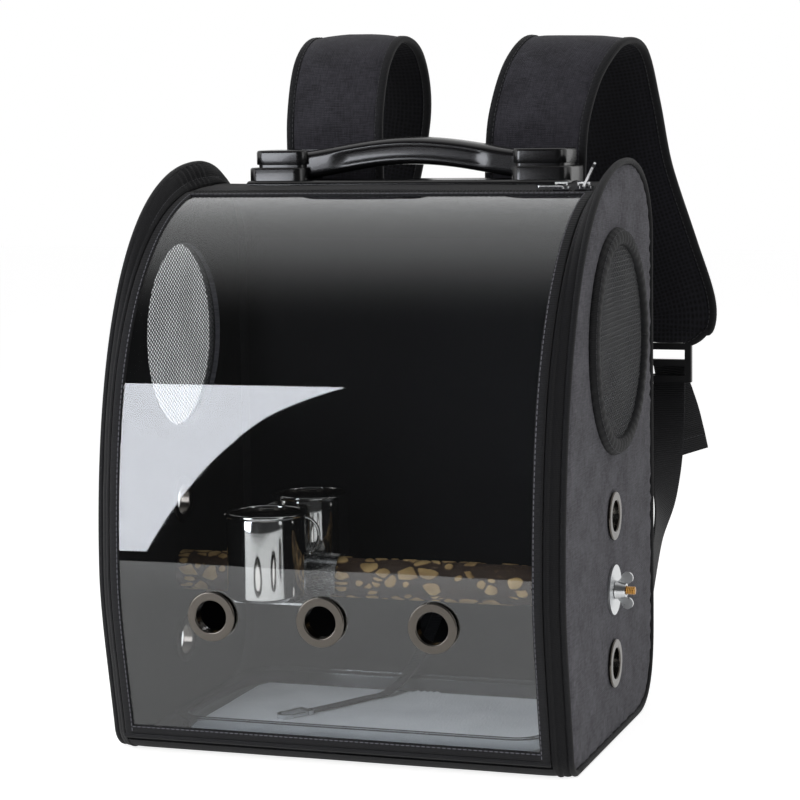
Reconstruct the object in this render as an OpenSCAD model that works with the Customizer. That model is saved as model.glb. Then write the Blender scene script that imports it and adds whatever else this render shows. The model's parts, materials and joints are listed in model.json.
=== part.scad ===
// Bird travel carrier: a backpack with a drop-down clear window, a perch and two feeding cups.
// Millimetres. X runs across the bag, -Y is the front, +Z is up.
// The origin is the centre of the flat base.

/* [Bag] */
// Width of the bag over its side piping
body_w = 330; // [280:5:420]
// Depth of the bag from the front bulge to the back
body_d = 260; // [230:5:320]
// Height of the bag at the crest of its side panels
body_h = 405; // [360:5:480]
// How far the top lies below the crest of the side panels
recess = 18; // [10:1:22]
// How far the lower part of the window stands out past the side panels
window_proud = 8; // [4:1:10]
// How far the back lies below the rim of the side panels
back_recess = 4; // [2:1:8]
// Radius of the bottom front corner of the side panels
corner_r = 18; // [15:1:24]
// Thickness of the padded fabric panels
panel_t = 4; // [2.5:0.5:6]
// Thickness of the sloping fabric band between a side panel and the window
band_t = 2.4; // [1.5:0.1:3]
// Radius of the piping round each side panel
piping_r = 2.4; // [1.5:0.1:3]

/* [Window door] */
// Distance from the bag's side to the clear part of the window
window_side = 20; // [18:1:65]
// Width of the fabric binding round the window
binding_w = 7; // [5:0.5:10]
// Thickness of the binding over the clear sheet
binding_t = 3.4; // [2.6:0.1:4]
// Thickness of the clear sheet
sheet_t = 1; // [0.5:0.1:1.5]
// Height of the window sheet inside the binding's fold, past its visible edge
sheet_tuck = 4; // [2:0.5:5]
// Radius of the bead that the window folds on
hinge_r = 2.2; // [1.9:0.1:3]
// Width of the zipper tape beside the window
zip_w = 5; // [3:0.5:7]
// Thickness of the zipper tape with its teeth
zip_t = 1; // [0.6:0.1:1.6]

/* [Eyelets] */
// Outer diameter of the vent eyelets
eyelet_d = 34; // [28:1:40]
// Clear bore of the vent eyelets
eyelet_bore = 21.5; // [16:0.5:24]
// Height of an eyelet's rim over the surface that it is pressed into
eyelet_rim = 2; // [1:0.1:3]
// Height of the row of eyelets in the window
eyelet_row_z = 104; // [80:1:130]
// Spacing of the eyelets in the window
eyelet_pitch = 78; // [50:1:100]
// Distance of the side eyelets above and below the perch
side_eyelet_rise = 52; // [40:1:56]

/* [Mesh windows] */
// Outer diameter of the ring round a side mesh window
mesh_ring_d = 158; // [120:2:180]
// Diameter of the mesh inside its ring
mesh_d = 134; // [90:2:150]
// Height of the ring over the side panel
mesh_ring_h = 6; // [3:0.5:9]
// Forward distance of the mesh windows' centre from the bag's middle
mesh_y = 18; // [-20:1:40]
// Height of the mesh windows' centre
mesh_z = 279; // [240:1:300]
// Spacing of the strands of the mesh
mesh_pitch = 7; // [6.6:0.1:12]
// Width of a strand of the mesh
mesh_strand = 1.2; // [0.6:0.1:2]
// Thickness of the mesh
mesh_t = 0.8; // [0.5:0.1:1.5]

/* [Perch] */
// Diameter of the perch
perch_d = 30; // [18:1:32]
// Height of the perch's centre
perch_z = 107; // [95:1:130]
// Distance of the perch behind the bag's middle
perch_y = 5; // [-10:1:20]
// Diameter of the bolts in the perch's ends
bolt_d = 6; // [4:0.5:8]
// Diameter of the washers under the wing nuts
washer_d = 35; // [24:1:40]
// Thickness of the washers
washer_t = 1.6; // [1:0.1:3]
// Span of a wing nut over its wings
nut_span = 26; // [20:1:32]

/* [Cups] */
// Outer diameter of a cup's wall
cup_d = 56; // [40:1:60]
// Height of a cup
cup_h = 62; // [40:1:80]
// Thickness of a cup's sheet steel
cup_t = 0.8; // [0.6:0.1:1.5]
// Radius of a cup's rolled rim
cup_rim_r = 1.6; // [1.2:0.1:2.5]
// Distance of both cups to the left of the bag's middle
cup_x = 76; // [50:1:95]
// Width of the steel bracket that carries the cups
bracket_w = 64; // [40:1:90]
// Distance of the bracket to the left of the bag's middle
bracket_x = 68; // [50:1:95]
// Thickness of the bracket's strip
bracket_t = 1.6; // [1:0.1:2.5]
// Length of each shelf of the bracket
shelf_l = 45; // [30:1:54]
// Drop from the perch's centre to the shelf of the bracket
shelf_drop = 8.5; // [2:0.5:14]

/* [Tray] */
// Distance from the bag's side to the tray's lip
tray_side = 27; // [20:1:65]
// Depth of the tray over its lip
tray_d = 172; // [140:2:176]
// Height of the tray
tray_h = 16; // [12:1:30]
// Thickness of the tray's plastic
tray_t = 1.6; // [1.2:0.1:3]
// Width of the tray's turned-out lip
tray_lip = 7; // [4:0.5:10]
// Radius of the tray's corners
tray_corner = 26; // [18:1:40]
// Thickness of the felt pad in the tray
pad_t = 4; // [2:0.5:6]

/* [Handle] */
// Length of the handle's base strip
handle_l = 244; // [200:2:260]
// Width of the handle's base strip
handle_w = 56; // [48:1:60]
// Thickness of the handle's base strip
handle_base_t = 3; // [2:0.5:5]
// Length of each end housing
housing_l = 44; // [36:1:56]
// Width of the step round the foot of each housing
housing_step = 4; // [2:0.5:6]
// Width of each end housing
housing_w = 40; // [32:1:44]
// Height of each end housing over the bag's crest line
housing_h = 25; // [20:0.5:30]
// Width of the grip
grip_w = 26; // [18:1:28]
// Thickness of the grip at its middle
grip_t = 20; // [12:0.5:24]
// Rise of the grip's arch
grip_rise = 9.5; // [8:0.5:14]

/* [Shoulder straps] */
// Width of a strap's padded part with its binding
strap_w = 76; // [60:1:90]
// Thickness of a strap's pad
strap_t = 9; // [6:0.5:14]
// Width of the binding on a strap's edges
strap_edge = 5; // [3:0.5:8]
// Width of the strap's webbing
webbing_w = 25; // [20:1:30]
// Thickness of the strap's webbing
webbing_t = 1.8; // [1:0.1:2.5]

/* [Leash] */
// Width of the leash's webbing
leash_w = 10; // [6:0.5:14]
// Thickness of the leash's webbing
leash_t = 1.4; // [1:0.1:2]
// Length of the snap hook
hook_l = 26; // [24:1:36]

/* [Clearance] */
// Gap between a moving piece and its neighbour
run_gap = 0.4; // [0.3:0.05:0.8]
// Gap between a soft piece and what it lies on
rest_gap = 0.2; // [0.1:0.05:0.3]

/* [Hidden] */
$fn = 64;

fabric_black = "#17171a";
fabric_grey = "#45454a";
steel = "#c9ccd0";
pewter = "#77736c";
LEFT = -1;
RIGHT = 1;

// ---- The outline of the side panels ----
// The outline is drawn in (y, z). A station is [point, outward normal, share of the recess].
front_y = -body_d / 2;
rear_y = body_d / 2;
bulge_z = 0.32 * body_h;
crest_y = 0.215 * body_d;
shoulder_h = 60;
shoulder_l = 38;
shoulder_drop = 20;
heel_h = 60;
heel_l = 50;
heel_rise = 20;
heel_way = 15;
toe_l = 42;
toe_rise = 32;
corner_in = 36;
back_top_z = body_h - shoulder_h;
back_share = back_recess / recess;
// The lower window stands out of the rim, so its share is below zero
proud_share = -window_proud / recess;
// Where along the front curve the window starts to sink towards the crest
sink_from = 0.3;
corner_turn = 80;
corner_centre = [front_y + corner_in, corner_r];

function corner_out(a) = [-sin(a), -cos(a)];
corner_end = corner_centre + corner_r * corner_out(corner_turn);
corner_way = [-cos(corner_turn), sin(corner_turn)];

toe_curve = [
    corner_end,
    corner_end + toe_l * corner_way,
    [front_y, bulge_z - toe_rise],
    [front_y, bulge_z]
];
front_curve = [
    [front_y, bulge_z],
    [front_y, bulge_z + 0.28 * body_h],
    [front_y + 0.13 * body_d, body_h],
    [crest_y, body_h]
];
shoulder_curve = [
    [crest_y, body_h],
    [crest_y + shoulder_l, body_h],
    [rear_y, body_h - shoulder_drop],
    [rear_y, back_top_z]
];
heel_curve = [
    [rear_y, heel_h],
    [rear_y, heel_rise],
    [rear_y - heel_way, 0],
    [rear_y - heel_l, 0]
];

function bezier(p, t) =
    pow(1 - t, 3) * p[0] + 3 * t * pow(1 - t, 2) * p[1] + 3 * t * t * (1 - t) * p[2] + pow(t, 3) * p[3];
function bezier_way(p, t) =
    pow(1 - t, 2) * (p[1] - p[0]) + 2 * t * (1 - t) * (p[2] - p[1]) + t * t * (p[3] - p[2]);
function left_of(v) = [-v[1], v[0]] / norm(v);
function station(p, t, share) = [bezier(p, t), left_of(bezier_way(p, t)), share];
function ease(a, b, t) = a + (b - a) * t;

// A smooth step from 0 to 1
function soft_step(t) = let (u = min(1, max(0, t))) u * u * (3 - 2 * u);
function front_share(t) = ease(proud_share, 1, soft_step((t - sink_from) / (1 - sink_from)));
function front_station(t) = station(front_curve, t, front_share(t));

function corner_run(steps = 7) = [
    for (i = [0 : steps])
        let (a = corner_turn * i / steps)
            [corner_centre + corner_r * corner_out(a), corner_out(a), proud_share * pow(i / steps, 2)]
];
function toe_run(steps = 9) = [for (i = [0 : steps]) station(toe_curve, i / steps, proud_share)];
function front_run(from, to, steps) = [for (i = [0 : steps]) front_station(ease(from, to, i / steps))];
function shoulder_run(steps = 12) = [
    for (i = [0 : steps]) station(shoulder_curve, i / steps, ease(1, back_share, i / steps))
];
function heel_run(steps = 9) = [
    for (i = [0 : steps]) station(heel_curve, i / steps, ease(back_share, 0, i / steps))
];

// Where the front curve is cut: at the window's top edge, and where the top panel starts
window_end = 0.87;
zip_end = 0.902;

function after_first(run) = [for (i = [1 : len(run) - 1]) run[i]];
window_run = concat(toe_run(), after_first(front_run(0, window_end, 32)));
zip_run = front_run(window_end + 0.002, zip_end - 0.001, 2);
top_run = concat(front_run(zip_end, 1, 8), after_first(shoulder_run()));
back_run = [shoulder_run()[12], heel_run()[0]];
base_run = concat(heel_run(), [corner_run()[0]]);
whole_run = concat(corner_run(), after_first(window_run), top_run, heel_run());

function sunk(s, depth) = s[0] - s[1] * depth;
function recessed(s, depth) = sunk(s, s[2] * recess + depth);
function recessed_line(run, depth) = [for (s = run) recessed(s, depth)];
function reversed(list) = [for (i = [len(list) - 1 : -1 : 0]) list[i]];

// ---- Planes across the bag ----
panel_out_x = body_w / 2 - 0.8;
panel_in_x = panel_out_x - panel_t;
band_out_x = panel_in_x - 0.3;
window_half = body_w / 2 - window_side;
door_half = window_half + binding_w;
band_in_x = door_half + run_gap + 0.2;
piping_x = body_w / 2 - piping_r;
panel_inset = 2 * piping_r + 0.3;

// ---- The window's fold line ----
sheet_mid = sheet_t / 2;
hinge_at = recessed(window_run[0], sheet_mid);
binding_top = (binding_t - sheet_t) / 2;

// ---- Inside ----
floor_z = panel_t;
tray_w = body_w - 2 * tray_side;
tray_y = 1;
tray_rear_y = tray_y + tray_d / 2;
tray_floor_z = floor_z + rest_gap;
pad_z = tray_floor_z + tray_t + rest_gap;
pad_top_z = pad_z + pad_t;
cup_gap = 1;
leg_y = perch_d / 2 + rest_gap + bracket_t;
cup_offset = leg_y + cup_gap + cup_d / 2;
shelf_z = perch_z - shelf_drop;
cup_z = shelf_z + rest_gap;

// ---- Handle ----
handle_y = 0.29 * body_d;
grip_tuck = 16;
grip_half = handle_l / 2 - housing_l + grip_tuck;
crest_z = body_h - recess;
grip_foot_z = max([for (s = top_run) recessed(s, -handle_base_t)[1]]) + 0.5;

// ---- Shapes that repeat ----

// Draws its children, which are drawn for the right side, on the given side
module on_side(side) {
    if (side == RIGHT) children();
    else mirror([1, 0, 0]) children();
}

// Extrudes a shape drawn in (y, z) across the bag from one x to another
module across(from_x, to_x) {
    translate([from_x, 0, 0])
        rotate([90, 0, 90])
            linear_extrude(to_x - from_x)
                children();
}

// A sheet that follows a run of stations, from one depth to another below the recessed surface
module follow(run, top, bottom, from_x, to_x) {
    across(from_x, to_x)
        polygon(concat(recessed_line(run, top), reversed(recessed_line(run, bottom))));
}

// Turns a shape that stands on z = 0 so that it stands out of the right side at a point
module out_of_side(x, y, z) {
    translate([x, y, z])
        rotate([0, 90, 0])
            children();
}

// Triangles that join rings of points of equal count, with both ends closed unless the rings loop
function quad(a, b, c, d) = [[a, b, c], [a, c, d]];
function ring_faces(rings, count, looped) = [
    for (i = [0 : rings - (looped ? 1 : 2)], j = [0 : count - 1])
        let (m = (i + 1) % rings, k = (j + 1) % count)
            each quad(i * count + j, i * count + k, m * count + k, m * count + j)
];
function end_faces(rings, count) = [
    for (j = [1 : count - 2])
        each [[0, j + 1, j], [(rings - 1) * count, (rings - 1) * count + j, (rings - 1) * count + j + 1]]
];
module skin(rings, looped = false) {
    count = len(rings[0]);
    polyhedron(
        points = [for (ring = rings) each ring],
        faces = concat(
            ring_faces(len(rings), count, looped),
            looped ? [] : end_faces(len(rings), count)
        ),
        convexity = 6
    );
}

// A smooth line through points, as Catmull-Rom pieces
function spline(p, i, t) =
    let (a = p[max(i - 1, 0)], b = p[i], c = p[i + 1], d = p[min(i + 2, len(p) - 1)])
        0.5 * (
            2 * b + (c - a) * t + (2 * a - 5 * b + 4 * c - d) * t * t
            + (3 * b - a - 3 * c + d) * pow(t, 3)
        );
function smooth(p, steps) = concat(
    [for (i = [0 : len(p) - 2], s = [0 : steps - 1]) spline(p, i, s / steps)],
    [p[len(p) - 1]]
);
function unit(v) = v / norm(v);
function last_of(list) = list[len(list) - 1];
function run_way(p, i) = unit(p[min(i + 1, len(p) - 1)] - p[max(i - 1, 0)]);

// A flat section with round edges, swept along points: across[i] is the direction of its width
function pill(width, thick, sides) = [
    for (i = [0 : sides - 1])
        let (
            a = 360 * (i + 0.5) / sides,
            flank = (width - thick) / 2 * sign(cos(a))
        )
            [flank + thick / 2 * cos(a), thick / 2 * sin(a)]
];
function placed(at, way, wide, section) =
    let (
        side = unit(wide - (wide * way) * way),
        up = cross(way, side)
    )
        [for (s = section) at + side * s[0] + up * s[1]];
function ribbon(points, wides, width, thick, sides, shift = 0) = [
    for (i = [0 : len(points) - 1])
        let (
            way = run_way(points, i),
            wide = unit(wides[i] - (wides[i] * way) * way)
        )
            placed(points[i] + wide * shift, way, wide, pill(width, thick, sides))
];

// ---- Bag ----

module side_panel(side) {
    color(fabric_grey)
    on_side(side)
        difference() {
            across(panel_in_x, panel_out_x)
                polygon([for (s = whole_run) sunk(s, panel_inset)]);
            out_of_side(panel_in_x - 1, mesh_y, mesh_z)
                cylinder(d = mesh_d, h = panel_t + 2, $fn = 96);
            out_of_side(panel_in_x - 1, perch_y, perch_z)
                cylinder(d = bolt_d + 2 * run_gap, h = panel_t + 2);
            for (up = [-1, 1])
                out_of_side(panel_in_x - 1, perch_y, perch_z + up * side_eyelet_rise)
                    cylinder(d = eyelet_bore + 4 + 2 * rest_gap, h = panel_t + 2);
        }
}

// The piping is a round cord that runs once round the panel's rim
module piping(side) {
    sides = 8;
    color(fabric_black)
    on_side(side)
        skin([
            for (s = whole_run)
                let (c = sunk(s, piping_r))
                    [for (i = [0 : sides - 1])
                        let (a = 360 * (i + 0.5) / sides, out = piping_r * sin(a))
                            [piping_x + piping_r * cos(a), c[0] + s[1][0] * out, c[1] + s[1][1] * out]]
        ], looped = true);
}

// The band slopes from the side panel's rim down to the window, the top, the back and the base
module side_band(side) {
    color(fabric_black)
    on_side(side)
        skin([
            for (s = whole_run)
                let (
                    rim = sunk(s, 1),
                    rim_in = sunk(s, 1 + band_t),
                    low = recessed(s, 0),
                    low_in = recessed(s, band_t)
                )
                    [
                        [band_out_x, rim[0], rim[1]],
                        [band_in_x, low[0], low[1]],
                        [band_in_x, low_in[0], low_in[1]],
                        [band_out_x, rim_in[0], rim_in[1]]
                    ]
        ], looped = true);
}

module mesh_ring(side) {
    width = (mesh_ring_d - mesh_d) / 2;
    color(fabric_black)
    on_side(side)
        out_of_side(panel_out_x, mesh_y, mesh_z)
            rotate_extrude($fn = 96)
                translate([mesh_d / 2, 0])
                    polygon([
                        [0, 0], [width, 0], [width - 0.6, 0.4 * mesh_ring_h], [width - 3, mesh_ring_h],
                        [2, mesh_ring_h], [0, mesh_ring_h - 2]
                    ]);
}

// A net of crossing strands, cut to a disc and held in the panel's hole
module mesh(side) {
    across_count = floor(mesh_d / 2 / mesh_pitch);
    disc_r = mesh_d / 2 - rest_gap;
    color("#2a2a2c")
    on_side(side)
        out_of_side(panel_out_x + 1, mesh_y, mesh_z)
            linear_extrude(mesh_t) {
                intersection() {
                    circle(r = disc_r, $fn = 96);
                    for (turn = [45, 135], i = [-across_count : across_count])
                        rotate(turn)
                            translate([i * mesh_pitch, 0])
                                square([mesh_strand, mesh_d], center = true);
                }
                difference() {
                    circle(r = disc_r, $fn = 96);
                    circle(r = disc_r - 2, $fn = 96);
                }
            }
}

// A pressed ring with a rolled rim on both faces of a wall of the given thickness, from z = 0 up
module eyelet(wall) {
    throat = eyelet_bore / 2;
    rim = eyelet_d / 2;
    roll = eyelet_rim / 2;
    rotate_extrude($fn = 72)
        difference() {
            union() {
                translate([throat, -roll])
                    square([2, wall + 2 * roll]);
                for (z = [-roll - rest_gap, wall + roll + rest_gap])
                    translate([throat + roll, z])
                        union() {
                            circle(r = roll, $fn = 24);
                            translate([0, -roll])
                                square([rim - throat - 2 * roll, eyelet_rim]);
                            translate([rim - throat - 2 * roll, 0])
                                circle(r = roll, $fn = 24);
                        }
            }
            translate([0, -wall])
                square([throat, 3 * wall + 4 * roll]);
        }
}

module side_eyelets(side) {
    color(pewter)
    on_side(side)
        for (up = [-1, 1])
            out_of_side(panel_in_x, perch_y, perch_z + up * side_eyelet_rise)
                eyelet(panel_t);
}

module base_panel() {
    color(fabric_black)
        follow(base_run, 0, panel_t, -band_in_x, band_in_x);
}

module back_panel() {
    color(fabric_black)
        follow(back_run, 0, panel_t, -band_in_x, band_in_x);
}

module top_panel() {
    color(fabric_black)
        follow(top_run, 0, panel_t, -band_in_x, band_in_x);
}

// The strip under the window; its upper edge is hollowed for the bead that the window folds on
module front_sill() {
    color(fabric_black)
        difference() {
            follow(corner_run(), 0, panel_t, -band_in_x, band_in_x);
            translate([-body_w / 2, hinge_at[0], hinge_at[1]])
                rotate([0, 90, 0])
                    cylinder(r = hinge_r + 1.5 * run_gap, h = body_w, $fn = 48);
        }
}

// The point of a station at a depth, on the way from the band's low edge (0) to the rim (1)
function on_band(s, way, depth) = ease(recessed(s, depth), sunk(s, 1 + depth), way);

// The frame's half of the zipper: down both sides behind the sloping band, and across the top
module frame_zipper() {
    depth = band_t + 2 * rest_gap;
    way = zip_w / (band_out_x - band_in_x);
    color("#0d0d0e") {
        for (side = [LEFT, RIGHT])
            on_side(side)
                skin([
                    for (s = window_run)
                        [for (corner = [[way, 0], [0, 0], [0, 1], [way, 1]])
                            let (p = on_band(s, corner[0], depth + zip_t * corner[1]))
                                [band_in_x + zip_w * corner[0] / way, p[0], p[1]]]
                ]);
        follow(zip_run, 0.5, 0.5 + zip_t, -band_in_x, band_in_x);
    }
}

// ---- Window door ----

module window_sheet() {
    rise = hinge_r + 1;
    color("#a9b4bd", 0.4)
        difference() {
            follow(window_run, 0, sheet_t, -window_half - sheet_tuck, window_half + sheet_tuck);
            hinge_line(rise);
            top_edge_cut(2);
            for (i = [-1 : 1])
                translate([i * eyelet_pitch, front_y - 2 * window_proud, eyelet_row_z])
                    rotate([-90, 0, 0])
                        cylinder(d = eyelet_bore + 4 + 2 * rest_gap, h = body_d / 4);
        }
}

// A rod along the window's fold line
module hinge_line(r, half = body_w / 2) {
    translate([-half, hinge_at[0], hinge_at[1]])
        rotate([0, 90, 0])
            cylinder(r = r, h = 2 * half, $fn = 48);
}

// What lies past the window's top edge, and the given length before it
module top_edge_cut(length) {
    edge = front_station(window_end);
    at = recessed(edge, 0);
    turn = atan2(edge[1][1], edge[1][0]) - 90;
    translate([0, at[0], at[1]])
        rotate([turn, 0, 0])
            translate([-body_w / 2, -length, -recess])
                cube([body_w, 3 * length + 10, 2 * recess]);
}

// The binding folds over the sheet's edge on all four sides and runs round the bead at the bottom
module window_binding() {
    color(fabric_black)
        difference() {
            union() {
                difference() {
                    follow(window_run, -binding_top, sheet_t + binding_top, -door_half, door_half);
                    hinge_line(hinge_r);
                }
                hinge_line(hinge_r, door_half);
            }
            difference() {
                follow(window_run, -recess, recess, -window_half, window_half);
                hinge_line(hinge_r + 6);
                top_edge_cut(binding_w);
            }
            difference() {
                follow(window_run, -rest_gap, sheet_t + rest_gap,
                    -window_half - sheet_tuck - rest_gap, window_half + sheet_tuck + rest_gap);
                hinge_line(hinge_r + 0.6);
                top_edge_cut(1.4);
            }
        }
}

// The door's half of the zipper, behind the binding
module door_zipper() {
    depth = sheet_t + binding_top + rest_gap;
    color("#0d0d0e")
        difference() {
            for (side = [LEFT, RIGHT])
                on_side(side)
                    follow(window_run, depth, depth + zip_t, door_half - zip_w, door_half);
            hinge_line(hinge_r + 4);
        }
}

// The y of the window's outer face at a height
function window_y(z) = lookup(z, [for (s = window_run) let (p = recessed(s, 0)) [p[1], p[0]]]);

// The sheet leans a little over the height of an eyelet, so the eyelet's wall spans that lean
module window_eyelets() {
    faces_y = [for (up = [-0.5, 0, 0.5]) window_y(eyelet_row_z + up * eyelet_d)];
    wall = max(faces_y) - min(faces_y) + sheet_t;
    color(pewter)
        for (i = [-1 : 1])
            translate([i * eyelet_pitch, min(faces_y), eyelet_row_z])
                rotate([-90, 0, 0])
                    eyelet(wall);
}

// ---- Handle ----

module handle_base() {
    color("#0b0b0c")
        intersection() {
            follow(top_run, -handle_base_t, 0, -handle_l / 2, handle_l / 2);
            translate([-body_w / 2, handle_y - handle_w / 2, 0])
                cube([body_w, handle_w, 2 * body_h]);
        }
}

// The whole bag inside its recessed surface, less a depth, so that pieces can be cut to stand on it
module bag_core(depth) {
    across(-body_w / 2, body_w / 2)
        polygon(recessed_line(whole_run, depth));
}

// A stepped moulded block with a pocket, open to the middle and the top, that the grip's end drops in
module handle_housing(side) {
    pocket_w = grip_w + 2 * run_gap;
    inner_x = handle_l / 2 - housing_l;
    below = 20;
    color("#0b0b0c")
    on_side(side)
        difference() {
            translate([inner_x + housing_l / 2, handle_y, crest_z - below])
                union() {
                    round_slab(housing_l, housing_w + 2 * housing_step, below + 0.5 * housing_h, 8);
                    translate([-housing_step / 2, 0, 0])
                        round_slab(housing_l - housing_step, housing_w, below + housing_h, 7);
                }
            bag_core(-handle_base_t);
            translate([inner_x - 1, handle_y - pocket_w / 2, grip_foot_z - run_gap])
                cube([grip_half - inner_x + 1 + run_gap, pocket_w, body_h]);
        }
}

// The arch of the grip, drawn in (x, z), with flat feet that stand in the housings
module grip_outline() {
    steps = 20;
    foot = 13;
    reach = grip_half - foot;
    function arch(u) = grip_rise * pow(cos(90 * u), 1.2);
    top = [for (i = [-steps : steps]) let (u = i / steps) [reach * u, grip_t + arch(abs(u))]];
    under = [for (i = [-steps : steps]) let (u = i / steps) [(reach - 3) * u, arch(abs(u))]];
    polygon(concat(
        [[-grip_half, 0], [-grip_half, grip_t]],
        top,
        [[grip_half, grip_t], [grip_half, 0]],
        reversed(under)
    ));
}

module handle_grip() {
    color("#0b0b0c")
        translate([0, handle_y, grip_foot_z])
            rotate([90, 0, 0])
                translate([0, 0, -grip_w / 2])
                    linear_extrude(grip_w)
                        grip_outline();
}

// ---- Perch ----

module perch() {
    length = 2 * panel_in_x;
    color("#5b452d")
        translate([-panel_in_x, perch_y, perch_z])
            rotate([0, 90, 0])
                difference() {
                    cylinder(d = perch_d, h = length);
                    for (z = [-1, length - bolt_inside])
                        translate([0, 0, z])
                            cylinder(d = bolt_d, h = bolt_inside + 1);
                }
}

bolt_inside = 20;
bolt_outside = 14;
washer_x = panel_out_x;
nut_x = washer_x + washer_t + run_gap;

module perch_bolt(side) {
    color("#b98a4a")
    on_side(side)
        out_of_side(panel_in_x - bolt_inside, perch_y, perch_z)
            cylinder(d = bolt_d, h = bolt_inside + panel_t + washer_t + bolt_outside);
}

module washer(side) {
    color(steel)
    on_side(side)
        out_of_side(washer_x, perch_y, perch_z)
            difference() {
                cylinder(d = washer_d, h = washer_t);
                translate([0, 0, -1])
                    cylinder(d = bolt_d + 2 * run_gap, h = washer_t + 2);
            }
}

// A hub with two raised wings, bored to turn on the bolt
module wing_nut(side) {
    hub_d = 2 * bolt_d;
    hub_h = 1.2 * bolt_d;
    wing_t = 2.4;
    color("#c9a45c")
    on_side(side)
        out_of_side(nut_x, perch_y, perch_z)
            difference() {
                union() {
                    cylinder(d1 = hub_d + 1, d2 = hub_d - 2, h = hub_h);
                    for (turn = [0, 180])
                        rotate(turn)
                            translate([0, wing_t / 2, 0])
                                rotate([90, 0, 0])
                                    linear_extrude(wing_t)
                                        union() {
                                            polygon([[2, 1], [hub_d / 2, 1], [nut_span / 2 - 1, 7], [2, 6]]);
                                            translate([nut_span / 2 - 4, 8])
                                                circle(d = 8, $fn = 32);
                                        }
                }
                translate([0, 0, -1])
                    cylinder(d = bolt_d + 2 * run_gap, h = hub_h + 20);
            }
}

// ---- Cups ----

// A wide strip that sits over the perch, with a leg and a shelf for a cup on each side
module cup_bracket() {
    inner_r = perch_d / 2 + rest_gap;
    leg_h = perch_z - shelf_z;
    color(steel)
        translate([-bracket_x - bracket_w / 2, perch_y, perch_z])
            rotate([90, 0, 90])
                linear_extrude(bracket_w) {
                    difference() {
                        circle(r = inner_r + bracket_t, $fn = 96);
                        circle(r = inner_r, $fn = 96);
                        translate([-perch_d, -2 * perch_d])
                            square([2 * perch_d, 2 * perch_d]);
                    }
                    for (way = [0, 1])
                        mirror([way, 0]) {
                            translate([inner_r, -leg_h - bracket_t])
                                square([bracket_t, leg_h + bracket_t]);
                            translate([inner_r, -leg_h - bracket_t])
                                square([shelf_l, bracket_t]);
                        }
                }
}

// A wire ear on a cup's wall: it leaves under the rim, bows out and ends in a bead
module cup_ear() {
    wire_r = 1.2;
    bow_r = 14;
    color(steel)
        translate([cup_d / 2 - 2.5, 0, cup_h - 6 - bow_r])
            rotate([90, 0, 0]) {
                rotate(-62)
                    rotate_extrude(angle = 142, $fn = 72)
                        translate([bow_r, 0])
                            circle(r = wire_r, $fn = 24);
                rotate(-62)
                    translate([bow_r, 0, 0])
                        sphere(r = 1.8 * wire_r, $fn = 32);
            }
}

// A straight-walled steel cup with a rolled rim and a rounded foot, and its ear turned its own way
module cup(way, ear_turn) {
    color(steel)
        translate([-cup_x, perch_y + way * cup_offset, cup_z])
            union() {
                cup_wall();
                rotate([0, 0, ear_turn])
                    difference() {
                        cup_ear();
                        translate([0, 0, -1])
                            cylinder(d = cup_d - cup_t, h = cup_h + 2, $fn = 96);
                    }
            }
}

module cup_wall() {
    outer = cup_d / 2;
    foot_r = 4;
    rotate_extrude($fn = 96)
        difference() {
            union() {
                translate([0, foot_r])
                    square([outer, cup_h - foot_r]);
                square([outer - foot_r, foot_r + 1]);
                translate([outer - foot_r, foot_r])
                    circle(r = foot_r, $fn = 32);
                translate([outer - cup_t / 2, cup_h - cup_rim_r])
                    circle(r = cup_rim_r, $fn = 32);
            }
            translate([0, cup_t + foot_r])
                square([outer - cup_t, cup_h]);
            translate([0, cup_t])
                square([outer - foot_r, foot_r + 1]);
            translate([outer - foot_r, foot_r])
                circle(r = foot_r - cup_t, $fn = 32);
        }
}

// ---- Tray ----

module round_slab(w, d, h, r) {
    translate([0, 0, h / 2])
        union() {
            cube([w - 2 * r, d, h], center = true);
            cube([w, d - 2 * r, h], center = true);
            for (x = [-1, 1], y = [-1, 1])
                translate([x * (w / 2 - r), y * (d / 2 - r), 0])
                    cylinder(r = r, h = h, center = true);
        }
}

// A shallow open tray with a turned-out lip and a low bead on the lip
module tray() {
    inner_w = tray_w - 2 * tray_lip;
    inner_d = tray_d - 2 * tray_lip;
    inner_r = tray_corner - tray_lip;
    color("#c9ced2", 0.5)
        translate([0, tray_y, tray_floor_z])
            difference() {
                union() {
                    round_slab(inner_w, inner_d, tray_h - 1, inner_r);
                    translate([0, 0, tray_h - tray_t - 1])
                        round_slab(tray_w, tray_d, tray_t, tray_corner);
                    translate([0, 0, tray_h - 1 - tray_t])
                        difference() {
                            round_slab(tray_w - 3, tray_d - 3, tray_t + 1, tray_corner - 1.5);
                            translate([0, 0, -1])
                                round_slab(tray_w - 6, tray_d - 6, tray_t + 3, tray_corner - 3);
                        }
                }
                translate([0, 0, tray_t])
                    round_slab(inner_w - 2 * tray_t, inner_d - 2 * tray_t, tray_h, inner_r - tray_t);
            }
}

module tray_pad() {
    inset = tray_lip + tray_t + 2;
    color("#b9bcc0")
        translate([0, tray_y, pad_z])
            round_slab(tray_w - 2 * inset, tray_d - 2 * inset, pad_t, tray_corner - inset);
}

// ---- Leash ----

// The leash is sewn to the back panel low down, drops onto the pad and runs forward over it
leash_route = [
    [2, rear_y - back_recess - panel_t - leash_t / 2 - rest_gap, 66],
    [1, tray_rear_y + 21, 57],
    [-3, tray_rear_y + 2, 38],
    [-9, tray_rear_y - 15, 23],
    [-18, tray_rear_y - 35, pad_top_z + 3],
    [-30, tray_rear_y - 53, pad_top_z + 1.4],
    [-44, tray_rear_y - 79, pad_top_z + 1.2],
    [-56, tray_rear_y - 99, pad_top_z + 1.2]
];
leash_wide = [
    [1, 0, 0.1], [1, 0, 0.3], [1, 0.2, 0.4], [1, 0, 0.3], [1, -0.3, 0.1], [1, -0.5, 0], [1, -0.45, 0],
    [1, -0.5, 0]
];

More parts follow.
